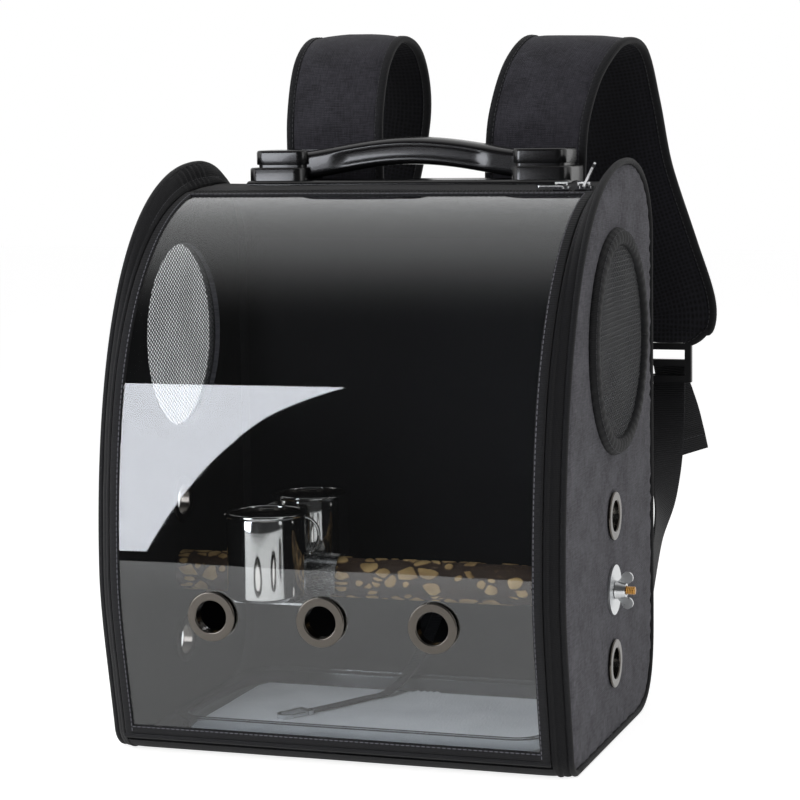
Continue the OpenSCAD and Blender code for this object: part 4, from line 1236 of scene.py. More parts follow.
def window_seam(ends, lift=BINDING_TOP + 0.05):
    """A line over the window between two ends given as (x, s), with outward directions."""
    (x0, s0), (x1, s1) = ends
    count = max(2, int(math.hypot(x1 - x0, s1 - s0) / 4))
    rows = np.array([x0, s0]) + np.linspace(0, 1, count)[:, None] * np.array([x1 - x0, s1 - s0])
    line = on_window(rows[:, 0], rows[:, 1], -lift)
    above = on_window(rows[:, 0], rows[:, 1], -lift - 1)
    return line, above - line


SEAM_IN = 1.3
seam_x = window_half + SEAM_IN
seam_top = window_s[-1] - BINDING_W + SEAM_IN
seam_corners = [(-seam_x, 3), (-seam_x, seam_top), (seam_x, seam_top), (seam_x, 3)]
left_up = window_seam(seam_corners[:2])
over_top = window_seam(seam_corners[1:3])
right_down = window_seam(seam_corners[2:])
along_bottom = window_seam([(-seam_x, 7), (seam_x, 7)])
points, faces = joined([stitches(*row) for row in (left_up, over_top, right_down, along_bottom)])
piece("window_binding_stitches", points, faces, pale_thread, "window")

# %% [markdown]
# ## Eyelets
#
# The eyelets keep their CAD shape. A bevel rounds their edges, because a sharp edge catches no
# light and reads as a drawing.

# %% Eyelets in the window and the sides


def soften(name, finish, width_mm, steps=2):
    """Gives a CAD piece its finish, rounds its edges and returns it."""
    node = frame["nodes"][name]
    node.data.materials.clear()
    node.data.materials.append(finish)
    edge = node.modifiers.new("soft_edges", "BEVEL")
    edge.width = width_mm / 1000
    edge.segments = steps
    edge.limit_method = "ANGLE"
    edge.angle_limit = math.radians(35)
    edge.harden_normals = True
    return node


for name in ("window_eyelets", "side_eyelets_left", "side_eyelets_right"):
    soften(name, dark_nickel, 0.7, 3)

# %% [markdown]
# ## Zipper
#
# The zipper is nylon coil: a tape with a spiral of thread sewn along it, which reads as a row of
# close small bars. The real coil turns every 1.5 mm and is drawn every 2.4 mm. Most of it hides
# behind the bands; the stretch over the top of the window shows.

# %% Tapes and coils
COIL_PITCH = 2.4
TAPE_T = 0.6


def coil(line, out, across, length=3.4, radius=0.6):
    """Bars across a line, one every coil pitch, lying on the tape."""
    line = np.asarray(line, float)
    run = arc_length(line)
    count = int(run[-1] / COIL_PITCH)
    turn = full_turn(6)
    parts = []
    for centre in (np.arange(count) + 0.5) * run[-1] / count:
        at = np.array([np.interp(centre, run, line[:, k]) for k in range(3)])
        up = np.array([np.interp(centre, run, out[:, k]) for k in range(3)])
        way = np.array([np.interp(centre, run, across[:, k]) for k in range(3)])
        way /= np.linalg.norm(way)
        up = up / np.linalg.norm(up)
        going = np.cross(way, up)
        ring = round_ring(turn, going, up, radius)
        ends = ((-0.5, 0.4), (-0.42, 1.0), (0.42, 1.0), (0.5, 0.4))
        parts.append(loft([at + way * length * share + ring * swell for share, swell in ends]))
    return joined(parts)


def side_tape(side, at_x, reach, depth, slope):
    """A zipper tape up one side, and its coil near the tape's free edge."""
    s = np.linspace(4, window_s[-1], 90)
    edge = np.array([0, reach, reach, 0])
    deep = np.array([depth, depth, depth + TAPE_T, depth + TAPE_T]) + slope * edge / abs(reach)
    rings = []
    for value in s:
        rings.append(on_window(side * (at_x + edge), np.full(4, value), deep))
    turned = side * reach > 0
    rings = rings if turned else [r[::-1] for r in rings]
    x = np.full(90, side * (at_x + 0.25 * reach))
    line = on_window(x, s, depth + 0.1)
    out = on_window(x, s, depth - 1) - line
    across = on_window(x + side, s, depth) - on_window(x, s, depth)
    return joined([loft(rings), coil(line, out, across, 3.0, 0.5)])


door_parts = [side_tape(side, door_half - 5, 5, BINDING_UNDER + 0.2, 0) for side in (-1, 1)]
points, faces = joined(door_parts)
cloth = points[:, [2, 0]]
piece("door_zipper_coil", points, faces, zip_tape, "window", ["door_zipper"], cloth)
frame_parts = [side_tape(side, band_in_x, 4.5, BAND_T + 0.5, 5.0) for side in (-1, 1)]
zip_run = bezier_run(front_curve, WINDOW_END + 0.002, ZIP_END - 0.001, 5, front_share)
tape_points, tape_faces, _ = strip(zip_run, across_bag, lambda x, s: np.full(len(x), -0.5), 1.4)
frame_parts.append((tape_points, tape_faces))
middle = zip_run[2]
top_x = np.linspace(-band_in_x + 1, band_in_x - 1, 120)
rows = np.repeat(middle[None], 120, axis=0)
line = bag_point(top_x, recessed(rows, 0.3))
out = bag_point(top_x, recessed(rows, -0.7)) - line
across = np.cross(out, (1, 0, 0))
frame_parts.append(coil(line, out, across, 4.4, 0.7))
points, faces = joined(frame_parts)
cloth = points[:, [0, 2]]
piece("frame_zipper_coil", points, faces, zip_tape, "bag", ["frame_zipper"], cloth)
print("zipper:", len(points), "points")

# %% [markdown]
# ## Round net windows
#
# A padded tape is gathered round each net, so it stands up and puckers: one pucker for about
# every 8 mm. The net is knitted nylon with diamond holes. Its two sets of strands pass over and
# under each other at every crossing, and the whole net hangs a little slack in its ring.

# %% Gathered rings
RING_PUCKERS = 56
ring_rise = box_mm("mesh_ring_right")[1][0] - panel_out_x
RING_W = 12.0
RING_RISE = 6.0
RING_SEAM_AT = 9.6
ring_profile = np.array([
    (0, -0.4), (0, 3.2), (0.5, 4.6), (1.8, 5.6), (4.0, RING_RISE), (6.6, 5.8), (8.8, 5.0), (10.4, 3.6),
    (11.4, 1.8), (RING_W, 0.1), (11.6, -0.4),
])


def mesh_ring(side):
    """The padded, gathered tape round one net."""
    turn = full_turn(6 * RING_PUCKERS)
    drift = wave_noise(np.column_stack([np.cos(turn), np.sin(turn)]), 0.35, 4 + side)
    rings = []
    for a, uneven in zip(turn, drift):
        gather = 0.5 + 0.5 * np.sin(RING_PUCKERS * a + 2.2 * uneven)
        bulge = np.sin(np.pi * ring_profile[:, 0] / RING_W)
        rise = ring_profile[:, 1] * (1 - 0.09 * gather) * ring_rise / RING_RISE
        rise -= 0.5 * np.abs(uneven) * bulge
        reach = MESH_D / 2 + ring_profile[:, 0] * (1 - 0.02 * gather)
        yz = MESH_YZ + np.outer(reach, [1, 0]) * np.cos(a) + np.outer(reach, [0, 1]) * np.sin(a)
        rings.append(np.column_stack([side * (panel_out_x + rise), yz]))
    rings = rings if side > 0 else [r[::-1] for r in rings]
    cloth = [(a * 73, k) for a in turn for k in ring_profile[:, 0]]
    return *loft(rings, looped=True), cloth


for side, label in SIDES:
    points, faces, cloth = mesh_ring(side)
    name = f"mesh_ring_{label}"
    made = piece(name + "_tape", points, faces, binding_tape, "bag", [name], cloth)
    turn = np.linspace(0, 2 * np.pi, 241)
    yz = MESH_YZ + (MESH_D / 2 + RING_SEAM_AT) * np.column_stack([np.cos(turn), np.sin(turn)])
    line = bag_point(side * (panel_out_x + 4.4), yz)
    points, faces = stitches(line, np.tile([side * 1.0, 0, 0], (len(turn), 1)))
    piece(f"mesh_ring_stitches_{label}", points, faces, thread, "bag")

# %% Diamond nets
DIAMOND = (2.4, 1.7)  # Half width and half height of one hole
STRAND_R = 0.36
NET_R = MESH_D / 2 + 0.6


def tube(line, radius, sides=12, closed=True):
    """A round tube along a line of points; radius may be one number or one for each point."""
    line = np.asarray(line, float)
    way = np.gradient(line, axis=0)
    way /= np.linalg.norm(way, axis=1)[:, None]
    radius = np.broadcast_to(radius, len(line))
    side = np.cross(way[0], (0, 0, 1) if abs(way[0][2]) < 0.9 else (1, 0, 0))
    turn = full_turn(sides)
    rings = []
    for at, going, r in zip(line, way, radius):
        side = side - going * (side @ going)
        side /= np.linalg.norm(side)
        up = np.cross(going, side)
        rings.append(at + round_ring(turn, side, up, r))
    return loft(rings, closed=closed)


def net_slack(yz, side):
    """How far a slack net stands out at rows of (y, z)."""
    taut = 1 - (np.hypot(*yz.T) / NET_R) ** 4
    return 1.2 * wave_noise(yz, 42, 12 + side) * taut


def net_strand(fixed, lean, side):
    """One strand: the crossings it passes over and under, clipped to the ring."""
    half_count = int(NET_R / DIAMOND[1]) + 40
    other = np.arange(-half_count, half_count, 0.5)
    y = (fixed - other if lean > 0 else other - fixed) * DIAMOND[0]
    z = (fixed + other) * DIAMOND[1]
    kept = np.hypot(y, z) < NET_R
    if kept.sum() < 3:
        return None
    wave = lean * 0.85 * STRAND_R * np.cos(np.pi * (fixed + other))
    x = side * (panel_out_x + 1.4 + net_slack(np.column_stack([y, z]), side) + wave)
    line = np.column_stack([x, MESH_YZ[0] + y, MESH_YZ[1] + z])
    return tube(line[kept], STRAND_R, 6)


for side, label in SIDES:
    parts = [net_strand(k, lean, side) for lean in (-1, 1) for k in np.arange(-60, 61)]
    points, faces = joined([p for p in parts if p is not None])
    name = f"mesh_{label}"
    made = piece(name + "_net", points, faces, net_thread, "bag", [name])
print("net points:", len(points))

# %% [markdown]
# ## Suitcase handle
#
# A glossy plate is screwed to the top. Two stepped housings stand on it, each with a pocket that
# holds one end of the arched grip. The plate follows the bag's curve, the housings are stacks of
# rounded slabs with a groove between the steps, and the grip has a shallow panel in each side.

# %% Plate and housings
plate_low, plate_high = box_mm("handle_base")
handle_y = (plate_low[1] + plate_high[1]) / 2
ys = np.linspace(plate_low[1], plate_high[1], 24)
plate_run = np.column_stack([np.interp(ys, top_run[:, 0], top_run[:, k]) for k in range(5)])
PLATE_T = 3.0
plate_half = plate_high[0]
plate_s = arc_length(recessed(plate_run, 0))


def quarter_round(gap, radius):
    """Height lost near an edge with a round of the given radius."""
    t = np.clip(gap / radius, 0, 1)
    return radius * (1 - np.sqrt(1 - (1 - t) ** 2))


def plate_lift(x, s):
    """The plate's top: its thickness, less its rounded rim."""
    gap = np.minimum(plate_half - np.abs(x), np.minimum(s, plate_s[-1] - s))
    return PLATE_T - quarter_round(gap, 2.2)


plate_x = plate_half * np.sin(np.linspace(-np.pi / 2, np.pi / 2, 60))
points, faces, _ = strip(plate_run, plate_x, plate_lift, 0)
piece("handle_plate_abs", points, faces, gloss_abs, "bag", ["handle_base"])


def slab_ring(centre, width, depth, radius, z, steps=9):
    """A rectangle with round corners, as points at one height."""
    rows = []
    for quarter, (sx, sy) in enumerate(((1, 1), (-1, 1), (-1, -1), (1, -1))):
        turn = np.radians(90 * quarter) + np.linspace(0, np.pi / 2, steps)
        x = centre[0] + sx * (width / 2 - radius) + radius * np.cos(turn)
        y = centre[1] + sy * (depth / 2 - radius) + radius * np.sin(turn)
        rows.append(np.column_stack([x, y, np.full(steps, z)]))
    return np.vstack(rows)


def cut_away(made, cutter_points, cutter_faces):
    """Takes a block out of a piece."""
    mesh = bpy.data.meshes.new("cutter")
    mesh.from_pydata((np.asarray(cutter_points) / 1000).tolist(), [], cutter_faces)
    cutter = bpy.data.objects.new("cutter", mesh)
    scene_objects.link(cutter)
    cut = made.modifiers.new("pocket", "BOOLEAN")
    cut.operation = "DIFFERENCE"
    cut.object = cutter
    bpy.context.view_layer.update()
    result = bpy.data.meshes.new_from_object(made.evaluated_get(bpy.context.evaluated_depsgraph_get()))
    made.modifiers.remove(cut)
    made.data = result
    bpy.data.objects.remove(cutter)


grip_low, grip_high = box_mm("handle_grip")
housing_low, housing_high = box_mm("handle_housing_right")
GRIP_T = 20.0
POCKET_GAP = 0.4
STEP = 4.0
STEP_RISE = 12.5
housing_l = housing_high[0] - housing_low[0]
housing_w = 40.0
step_z = crest_z - RECESS + STEP_RISE
pocket_y = (grip_high[1] - grip_low[1]) / 2 + POCKET_GAP


def housing_rings(x):
    """The stack of slabs of one housing, from under the plate to the top."""
    wide, deep = housing_l, housing_w + 2 * STEP
    top_z = housing_high[2]
    lower = [(0, crest_z - 24), (0, step_z - 1.4), (0.4, step_z - 0.5), (1.3, step_z)]
    rings = [slab_ring((x, handle_y), wide - 2 * i, deep - 2 * i, 8 - min(i, 2), z) for i, z in lower]
    upper = [(1.6, step_z + 0.02), (1.6, step_z + 1.8), (0.3, step_z + 2.1), (0, step_z + 2.7)]
    upper += [(0, top_z - 2), (0.25, top_z - 1), (0.8, top_z - 0.3), (1.8, top_z)]
    towards = -np.sign(x) * STEP / 2
    centre = (x + towards, handle_y)
    wide -= STEP
    rings += [slab_ring(centre, wide - 2 * i, housing_w - 2 * i, 7 - min(i, 2), z) for i, z in upper]
    return rings


def box_mesh(low, high):
    """The corners and faces of a box."""
    points = [(x, y, z) for x in (low[0], high[0]) for y in (low[1], high[1]) for z in (low[2], high[2])]
    faces = [(0, 1, 3, 2), (4, 6, 7, 5), (0, 4, 5, 1), (2, 3, 7, 6), (0, 2, 6, 4), (1, 5, 7, 3)]
    return points, faces


for side, label in SIDES:
    middle_x = side * (housing_low[0] + housing_l / 2)
    points, faces = loft(housing_rings(middle_x))
    name = f"handle_housing_{label}"
    made = piece(name + "_abs", points, faces, gloss_abs, "bag", [name], smooth=40)
    ends = sorted([side * (housing_low[0] - 1), side * (grip_high[0] + POCKET_GAP)])
    low = (ends[0], handle_y - pocket_y, grip_low[2] - POCKET_GAP)
    high = (ends[1], handle_y + pocket_y, crest_z + 90)
    cut_away(made, *box_mesh(low, high))

# %% Grip
grip_half = grip_high[0]
grip_w = grip_high[1] - grip_low[1]
GRIP_FOOT = 13.0
GRIP_POWER = 2 / 4.6
GRIP_PANEL_HALF = 62.0
grip_rise = grip_high[2] - grip_low[2] - GRIP_T


def arch(x, reach):
    """Rise of the grip's curve at a distance from its middle."""
    u = np.clip(np.abs(x) / reach, 0, 1)
    return grip_rise * np.cos(np.pi / 2 * u) ** 1.2


def grip_section(x):
    """One slice across the grip: a rounded block with a shallow panel in both sides."""
    turn = full_turn(44)
    across, up = squarish(turn, GRIP_POWER, GRIP_POWER)
    low_z = grip_low[2] + arch(x, grip_half - GRIP_FOOT - 3)
    high_z = grip_low[2] + GRIP_T + arch(x, grip_half - GRIP_FOOT)
    crown = 1 - 0.16 * (across**2) * (up > 0)
    panel = (1 - soft_step(np.abs(up), 0.35, 0.6)) * soft_step(GRIP_PANEL_HALF - abs(x), 0, 14)
    end = 1 - 0.10 * (1 - soft_step(grip_half - abs(x), 0, 1.6))
    y = handle_y + across * (grip_w / 2 - 1.3 * panel) * end
    z = (low_z + high_z) / 2 + up * crown * (high_z - low_z) / 2 * end
    return np.column_stack([np.full(len(turn), x), y, z])


grip_x = grip_half * np.sin(np.linspace(-np.pi / 2, np.pi / 2, 120))
points, faces = loft([grip_section(x)[::-1] for x in grip_x])
piece("handle_grip_abs", points, faces, gloss_abs, "grip", ["handle_grip"])
print("grip", round(2 * grip_half), "mm long, rises", round(grip_rise, 1), "mm")

# %% [markdown]
# ## Bark perch
#
# The perch is a natural branch. Its bark has broken into rounded tan scales of many sizes on a
# brown ground, so a Voronoi pattern is laid round the branch and each cell gets a scale of its own
# size: points on a scale stand up and are tan, the rest lies lower and is brown. The same
# numbers drive the shape and the colour: here the attribute `cloth` keeps each point's share of
# scale, in thousandths, in place of a length.

# %% Branch
perch_low, perch_high = box_mm("perch")
PERCH_R = 15.0
BARK_DEPTH = 1.3
CELLS = 330
LOST_SHARE = 0.18
BARK_SIDES = 120
BARK_RINGS = 420
ALONG = 0.82  # Distances along the branch count for less, so that scales are longer that way


def on_cylinder(x, radius, turn, centre=(0, 0)):
    """Rows of (x, y, z) round an axis along x; x, radius and turn are numbers or rows."""
    x, radius, turn = np.broadcast_arrays(x, radius, turn)
    return np.column_stack([x, centre[0] + radius * np.cos(turn), centre[1] + radius * np.sin(turn)])


rng = np.random.default_rng(11)
cell_x = rng.uniform(perch_low[0], perch_high[0], CELLS)
cell_turn = rng.uniform(0, 2 * np.pi, CELLS)
lost = rng.random(CELLS) < LOST_SHARE
scale_size = rng.uniform(2.6, 8.5, CELLS)
bark_turn = full_turn(BARK_SIDES)
cell_at = on_cylinder(cell_x * ALONG, PERCH_R, cell_turn)
rings = []
bark = []
for x in np.linspace(perch_low[0], perch_high[0], BARK_RINGS):
    at = on_cylinder(x, PERCH_R, bark_turn)
    bend = np.column_stack([wave_noise(at, 7, seed) for seed in (1, 2, 3)]) * 1.6
    place = (at + bend) * (ALONG, 1, 1)
    away = np.linalg.norm(place[:, None] - cell_at[None], axis=2)
    order = np.argsort(away, axis=1)[:, :2]
    near, second = np.take_along_axis(away, order, axis=1).T
    room = np.minimum(second - near - 0.7, scale_size[order[:, 0]] - near)
    scale = soft_step(room, 0, 0.9) * np.where(lost[order[:, 0]], 0.15, 1)
    rough = 0.35 * wave_noise(at, 2.2, 8)
    knots = 0.5 * wave_noise(at, 36, 5)
    radius = PERCH_R - BARK_DEPTH * (1 - scale) * 0.75 - np.abs(rough) * 0.5 - 0.35 + knots * 0.35
    radius = np.minimum(radius, PERCH_R)
    rings.append(on_cylinder(x, radius, bark_turn, PERCH_YZ))
    bark.append(np.clip(scale + 0.25 * rough, 0, 1))
points, faces = loft(rings)
bark = np.r_[np.concatenate(bark), 0.2, 0.2]

bark_finish, tree, shader = new_finish("scaly_branch_bark", "#5a4a38", 0.82)
place = object_place(tree)
share = add_node(tree, "SeparateXYZ", {"Vector": cloth_place(tree)}).outputs["X"]
share = multiplied(tree, share, 1000)
grain = speckle(tree, place, 2.5, 5)
patches = speckle(tree, place, 14, 2)
mixed = add_node(tree, "Math", {0: grain, 1: -0.5}, operation="ADD").outputs[0]
mixed = add_node(tree, "Math", {0: share, 1: multiplied(tree, mixed, 0.5)}, operation="ADD").outputs[0]
stops = [(0.05, "#3a2b20"), (0.35, "#503c2b"), (0.7, "#96794f"), (0.95, "#bb9d6b")]
blend = add_node(tree, "ValToRGB", {"Fac": mixed}, stops)
shade = add_node(tree, "ValToRGB", {"Fac": patches}, [(0.3, "#b9b0a6"), (0.75, "#ffffff")])
toned = {0: 1.0, 6: blend.outputs["Color"], 7: shade.outputs["Color"]}
toned = add_node(tree, "Mix", toned, data_type="RGBA", blend_type="MULTIPLY")
tree.links.new(toned.outputs[2], shader.inputs["Base Color"])
relief(tree, shader, grain, 0.5)
piece(
    "perch_branch", points, faces, bark_finish, "bag", ["perch"],
    np.column_stack([bark, bark * 0]),
)
print("branch:", len(points), "points")

# %% [markdown]
# ## Bolts, washers and wing nuts
#
# The bolts are drawn with a real helical thread: the radius follows a saw-tooth that climbs one
# pitch each turn. The washers and the wing nuts keep their CAD shape, with softened edges.

# %% Threaded bolts
THREAD_PITCH = 1.25
THREAD_DEPTH = 0.55


def threaded(low_x, high_x, radius, sides=24, steps=8):
    """A bolt along x with a helical thread."""
    turn = np.linspace(0, 1, sides, endpoint=False)
    rings = []
    for x in np.arange(low_x, high_x, THREAD_PITCH / steps):
        phase = (x / THREAD_PITCH + turn) % 1
        r = radius - THREAD_DEPTH * np.abs(2 * phase - 1)
        r = np.minimum(r, radius - 0.6 + 0.8 * min(x - low_x, high_x - x))
        angle = 2 * np.pi * turn
        rings.append(on_cylinder(x, r, angle, PERCH_YZ))
    return loft(rings)


for label in ("left", "right"):
    low, high = box_mm(f"perch_bolt_{label}")
    points, faces = threaded(low[0], high[0], (high[1] - low[1]) / 2)
    piece(f"perch_bolt_{label}_brass", points, faces, brass, "bag", [f"perch_bolt_{label}"])
    soften(f"washer_{label}", zinc, 0.35)
    soften(f"wing_nut_{label}", zinc, 0.5, 3)

# %% [markdown]
# ## Cups and bracket
#
# A drawn steel cup is a turned profile: a round foot, a straight wall and a rolled rim. Its wire
# ear is a bent tube with a bead at its free end. The bracket is a bent strip that sits over the
# perch and carries both cups.

# %% Turned cups
CUP_R = 28.0
CUP_H = 62.0
CUP_T = 0.8
CUP_FOOT = 4.0
CUP_ROLL = 1.6


def arc(centre, radius, start, end, count):
    """Points on an arc in a plane, with angles in degrees."""
    turn = np.radians(np.linspace(start, end, count))
    return np.column_stack([centre[0] + radius * np.cos(turn), centre[1] + radius * np.sin(turn)])


def turned(profile, centre, sides=120):
    """Turns rows of (radius, height) about an upright axis."""
    turn = full_turn(sides)
    x, y = np.cos(turn), np.sin(turn)
    rings = []
    for r, z in profile:
        height = np.full(sides, centre[2] + z)
        rings.append(np.column_stack([centre[0] + r * x, centre[1] + r * y, height]))
    return loft(rings)


inner_r = CUP_R - CUP_T
wall_swell = [(CUP_R - 0.02, 12), (CUP_R, 30), (CUP_R, 50), (CUP_R - 0.1, 56), (CUP_R - 0.5, 58.3)]
roll = (CUP_R - CUP_T / 2, CUP_H - CUP_ROLL)
cup_profile = np.vstack([
    [(1, 0.5), (19, 0.5), (20, 0.1)],
    arc((CUP_R - CUP_FOOT, CUP_FOOT), CUP_FOOT, -90, 0, 10),
    wall_swell,
    arc(roll, CUP_ROLL, -60, 230, 22),
    [(inner_r - 0.2, 57), (inner_r, 54), (inner_r, 30), (inner_r, 8)],
    arc((CUP_R - CUP_FOOT, CUP_FOOT), CUP_FOOT - CUP_T, 0, -90, 8),
    [(19, CUP_T + 0.4), (1, CUP_T + 0.5)],
])
EAR_BOW = 14.0
WIRE_R = 1.2
BEAD_R = 2.16
CUP_X = -76
CUP_FROM_PERCH = 45.8
ear_arc = arc((CUP_R - 2.5, CUP_H - 6 - EAR_BOW), EAR_BOW, 80, -62, 40)
bead_turn = np.linspace(0, np.pi, 9)[1:-1]
bead_profile = BEAD_R * np.column_stack([np.sin(bead_turn), -np.cos(bead_turn)])
for label, sign, turned_by in (("front", -1, 40), ("back", 1, 220)):
    low, _ = box_mm(f"cup_{label}")
    centre = np.array([CUP_X, PERCH_YZ[0] + sign * CUP_FROM_PERCH, low[2]])
    way = np.array([math.cos(math.radians(turned_by)), math.sin(math.radians(turned_by))])
    line = centre + np.column_stack([np.outer(ear_arc[:, 0], way), ear_arc[:, 1]])
    bead = turned(bead_profile, line[-1], 20)
    points, faces = joined([turned(cup_profile, centre), tube(line, WIRE_R, 14), bead])
    name = f"cup_{label}"
    piece(name + "_steel", points, faces, cup_steel, f"{label}_cup", [name], smooth=50)
    print("cup", label, "at", centre.round(1))
soften("cup_bracket", bracket_steel, 0.35)

# %% [markdown]
# ## Tray, felt pad and leash
#
# The tray is pressed from one clear sheet, so it is a stack of rounded rectangles: foot, wall,
# turned-out lip with a low bead, and back down the inside. The pad is a cut piece of felt. The
# leash is flat webbing that drops from the back wall and lies across the felt.

# %% Tray
tray_low, tray_high = box_mm("tray")
tray_at = (tray_low[:2] + tray_high[:2]) / 2
tray_w, tray_d = (tray_high - tray_low)[:2]
TRAY_CORNER = 26.0
tray_levels = [  # Rows of (inset from the lip, height), from the foot up, over the lip and down inside
    (9, 0.0), (7.6, 0.3), (7, 1.4), (7, 12.2), (6.6, 13.1), (5.6, 13.4), (1.6, 13.4), (0.3, 13.6),
    (0, 14.0), (0, 14.5), (0.5, 14.9), (1.4, 15.1), (1.8, 15.8), (2.3, 16.0), (2.8, 15.8),
    (3.1, 15.0), (7, 15.0), (8.0, 14.7), (8.6, 13.8), (8.6, 4.2), (9.2, 2.4), (10.6, 1.6),
]
rings = []
for inset, rise in tray_levels:
    size = (tray_w - 2 * inset, tray_d - 2 * inset, TRAY_CORNER - inset)
    rings.append(slab_ring(tray_at, *size, tray_low[2] + rise, 14))
points, faces = loft(rings)
piece("tray_pet", points, faces, tray_pet, "bag", ["tray"], smooth=40)

# %% Felt pad
pad_low, pad_high = box_mm("tray_pad")
pad_size = pad_high - pad_low
pad_outline = slab_ring((pad_low + pad_high)[:2] / 2, pad_size[0], pad_size[1], 15.4, 0, 12)[:, :2]
edge_points = []
for a, b in zip(pad_outline, np.roll(pad_outline, -1, axis=0)):
    count = max(1, int(np.hypot(*(b - a)) / 5))
    edge_points += [a + (b - a) * i / count for i in range(count)]
pad_outline = np.array(edge_points)
pad_outline = pad_outline[np.hypot(*(pad_outline - np.roll(pad_outline, 1, axis=0)).T) > 0.05]
pad_flat, pad_faces = cut_sheet(pad_outline, [], 5)
pad_gap = outline_gap(pad_flat, pad_outline)
pad_top = pad_high[2] - quarter_round(pad_gap, 1.6) - 0.25 + 0.25 * wave_noise(pad_flat, 34, 9)
outer = np.column_stack([pad_flat, pad_top])
inner = np.column_stack([pad_flat, np.full(len(pad_flat), pad_low[2])])
points, skin, cloth = thick_sheet(pad_flat, pad_faces, outer, inner)
made = piece("tray_pad_felt", points, skin, felt, "bag", ["tray_pad"], cloth)
print("felt pad", pad_size.round(1))

# %% [markdown]
# ## Flat straps
#
# Pads, webbing and the leash are sections swept along smooth routes. A route keeps a `wide`
# direction at each point, so a strap can twist. One function places the sections, and each strap
# gives its own section: a crowned pad, a folded binding or flat webbing.

# %% Routes and sections


def smooth_line(points, steps):
    """A Catmull-Rom curve through rows of points, with steps parts between each two."""
    points = np.asarray(points, float)
    padded = np.vstack([points[0], points, points[-1]])
    rows = []
    for i in range(len(points) - 1):
        a, b, c, d = padded[i : i + 4]
        for t in np.arange(steps) / steps:
            bend = (2 * a - 5 * b + 4 * c - d) * t * t + (3 * b - a - 3 * c + d) * t**3
            rows.append(0.5 * (2 * b + (c - a) * t + bend))
    return np.array(rows + [points[-1]])


def run_ways(line):
    """The direction of travel at each point of a line."""
    ahead = np.vstack([line[1:], line[-1:]])
    behind = np.vstack([line[:1], line[:-1]])
    ways = ahead - behind
    return ways / np.linalg.norm(ways, axis=1)[:, None]


def swept(line, wides, sections):
    """Sweeps sections, rows of (across, up), along a line; returns its rings and frames."""
    rings = []
    frames = []
    for at, way, wide, section in zip(line, run_ways(line), wides, sections):
        side = wide - (wide @ way) * way
        side /= np.linalg.norm(side)
        up = np.cross(way, side)
        rings.append(at + np.outer(section[:, 0], side) + np.outer(section[:, 1], up))
        frames.append((side, up))
    return np.array(rings), frames


def rounded_section(width, thick, count=24, power=0.35, crown=0.0):
    """A flat strap's closed section with round edges, thinner towards its edges by the crown."""
    turn = full_turn(count) + np.pi / count
    across, up = squarish(turn, power, power)
    thin = 1 - crown * across**2
    return np.column_stack([across * width / 2, up * thin * thick / 2])


def strap_cloth(line, sections):
    """Along and across for each point of a swept strap."""
    run = arc_length(line)
    return [(s, a) for s, section in zip(run, sections) for a in section[:, 0]] + [(0, 0), (run[-1], 0)]


# %% Leash
leash_route = np.array([  # From the back wall down to the felt and on to the hook
    (2, 121.1, 66), (1, 108, 57), (-3, 89, 38), (-9, 72, 23), (-18, 52, 13), (-30, 34, 11.4),
    (-44, 8, 11.2), (-56, -12, 11.2),
])
leash_wides = np.array([
    (1, 0, 0.1), (1, 0, 0.3), (1, 0.2, 0.4), (1, 0, 0.3), (1, -0.3, 0.1), (1, -0.5, 0),
    (1, -0.45, 0), (1, -0.5, 0),
])
LEASH_W = 10.0
LEASH_T = 1.4
leash_line = smooth_line(leash_route, 12)
leash_across = smooth_line(leash_wides, 12)
leash_sections = [rounded_section(LEASH_W, LEASH_T, 16)] * len(leash_line)
rings, _ = swept(leash_line, leash_across, leash_sections)
points, faces = loft(rings)
cloth = strap_cloth(leash_line, leash_sections)
leash = piece("leash_ribbon", points, faces, webbing, "bag", ["leash_webbing"], cloth)
hook = soften("leash_hook", zinc, 0.6, 3)
gate = soften("leash_gate", zinc, 0.4, 3)

# %% [markdown]
# ## Shoulder straps
#
# Each pad is foam between two cloths: heathered polyester outside and spacer mesh on the side that
# lies on the shoulder. Both edges are bound with folded tape, and a row of stitches crosses the
# pad where it is sewn to the bag. The foam makes the pad swell in the middle, and small creases
# cross it where it bends.

# %% Pads and bindings
STRAP_HALF = 38.0
STRAP_T = 9.0
CREASE_PITCH = 13.0
SEWN_AT_Z = (406, 409)
EDGE_W = 5.0
WEBBING_W = 25.0
STEPS_BETWEEN = 10
NARROWS_OVER = 6
ROUTE_PARTS = 34
SEAM_PITCH = 3.8
TAPE_IN = 2.9
strap_points = {  # Rows of (x, y, z), from the bag's top over the shoulder to the ladder lock
    "right": [
        (80, 115, 367), (80, 115, 398), (82, 119, 434), (89, 137, 470), (99, 166, 489),
        (106, 204, 480), (111, 227, 440), (120, 236, 386), (141, 230, 324), (155, 221, 286),
        (156, 219, 268), (156, 219, 260),
    ],
    "left": [
        (-76, 115, 367), (-76, 115, 400), (-77, 119, 438), (-77, 137, 476), (-75, 168, 494),
        (-72, 204, 484), (-74, 227, 444), (-88, 236, 386), (-104, 230, 324), (-114, 221, 286),
        (-115, 219, 268), (-115, 219, 260),
    ],
}
strap_wides = {  # The way across the strap at each of those points
    "right": [
        (1, 0, 0), (1, 0, 0), (1, 0.02, 0), (1, 0.05, -0.02), (1, 0.04, -0.04), (1, 0, 0.05),
        (1, -0.05, 0.12), (1, -0.1, 0.14), (1, -0.06, 0.12), (1, -0.02, 0.1), (1, 0, 0), (1, 0, 0),
    ],
    "left": [
        (1, 0, 0), (1, 0, 0), (1, 0, 0), (1, 0.03, 0), (1, 0.02, 0), (1, 0, -0.05), (1, 0.03, -0.1),
        (1, 0.06, -0.14), (1, 0.05, -0.12), (1, 0.02, -0.1), (1, 0, 0), (1, 0, 0),
    ],
}
top_surface = recessed(top_run, -0.3)
PAD_POINTS = 48


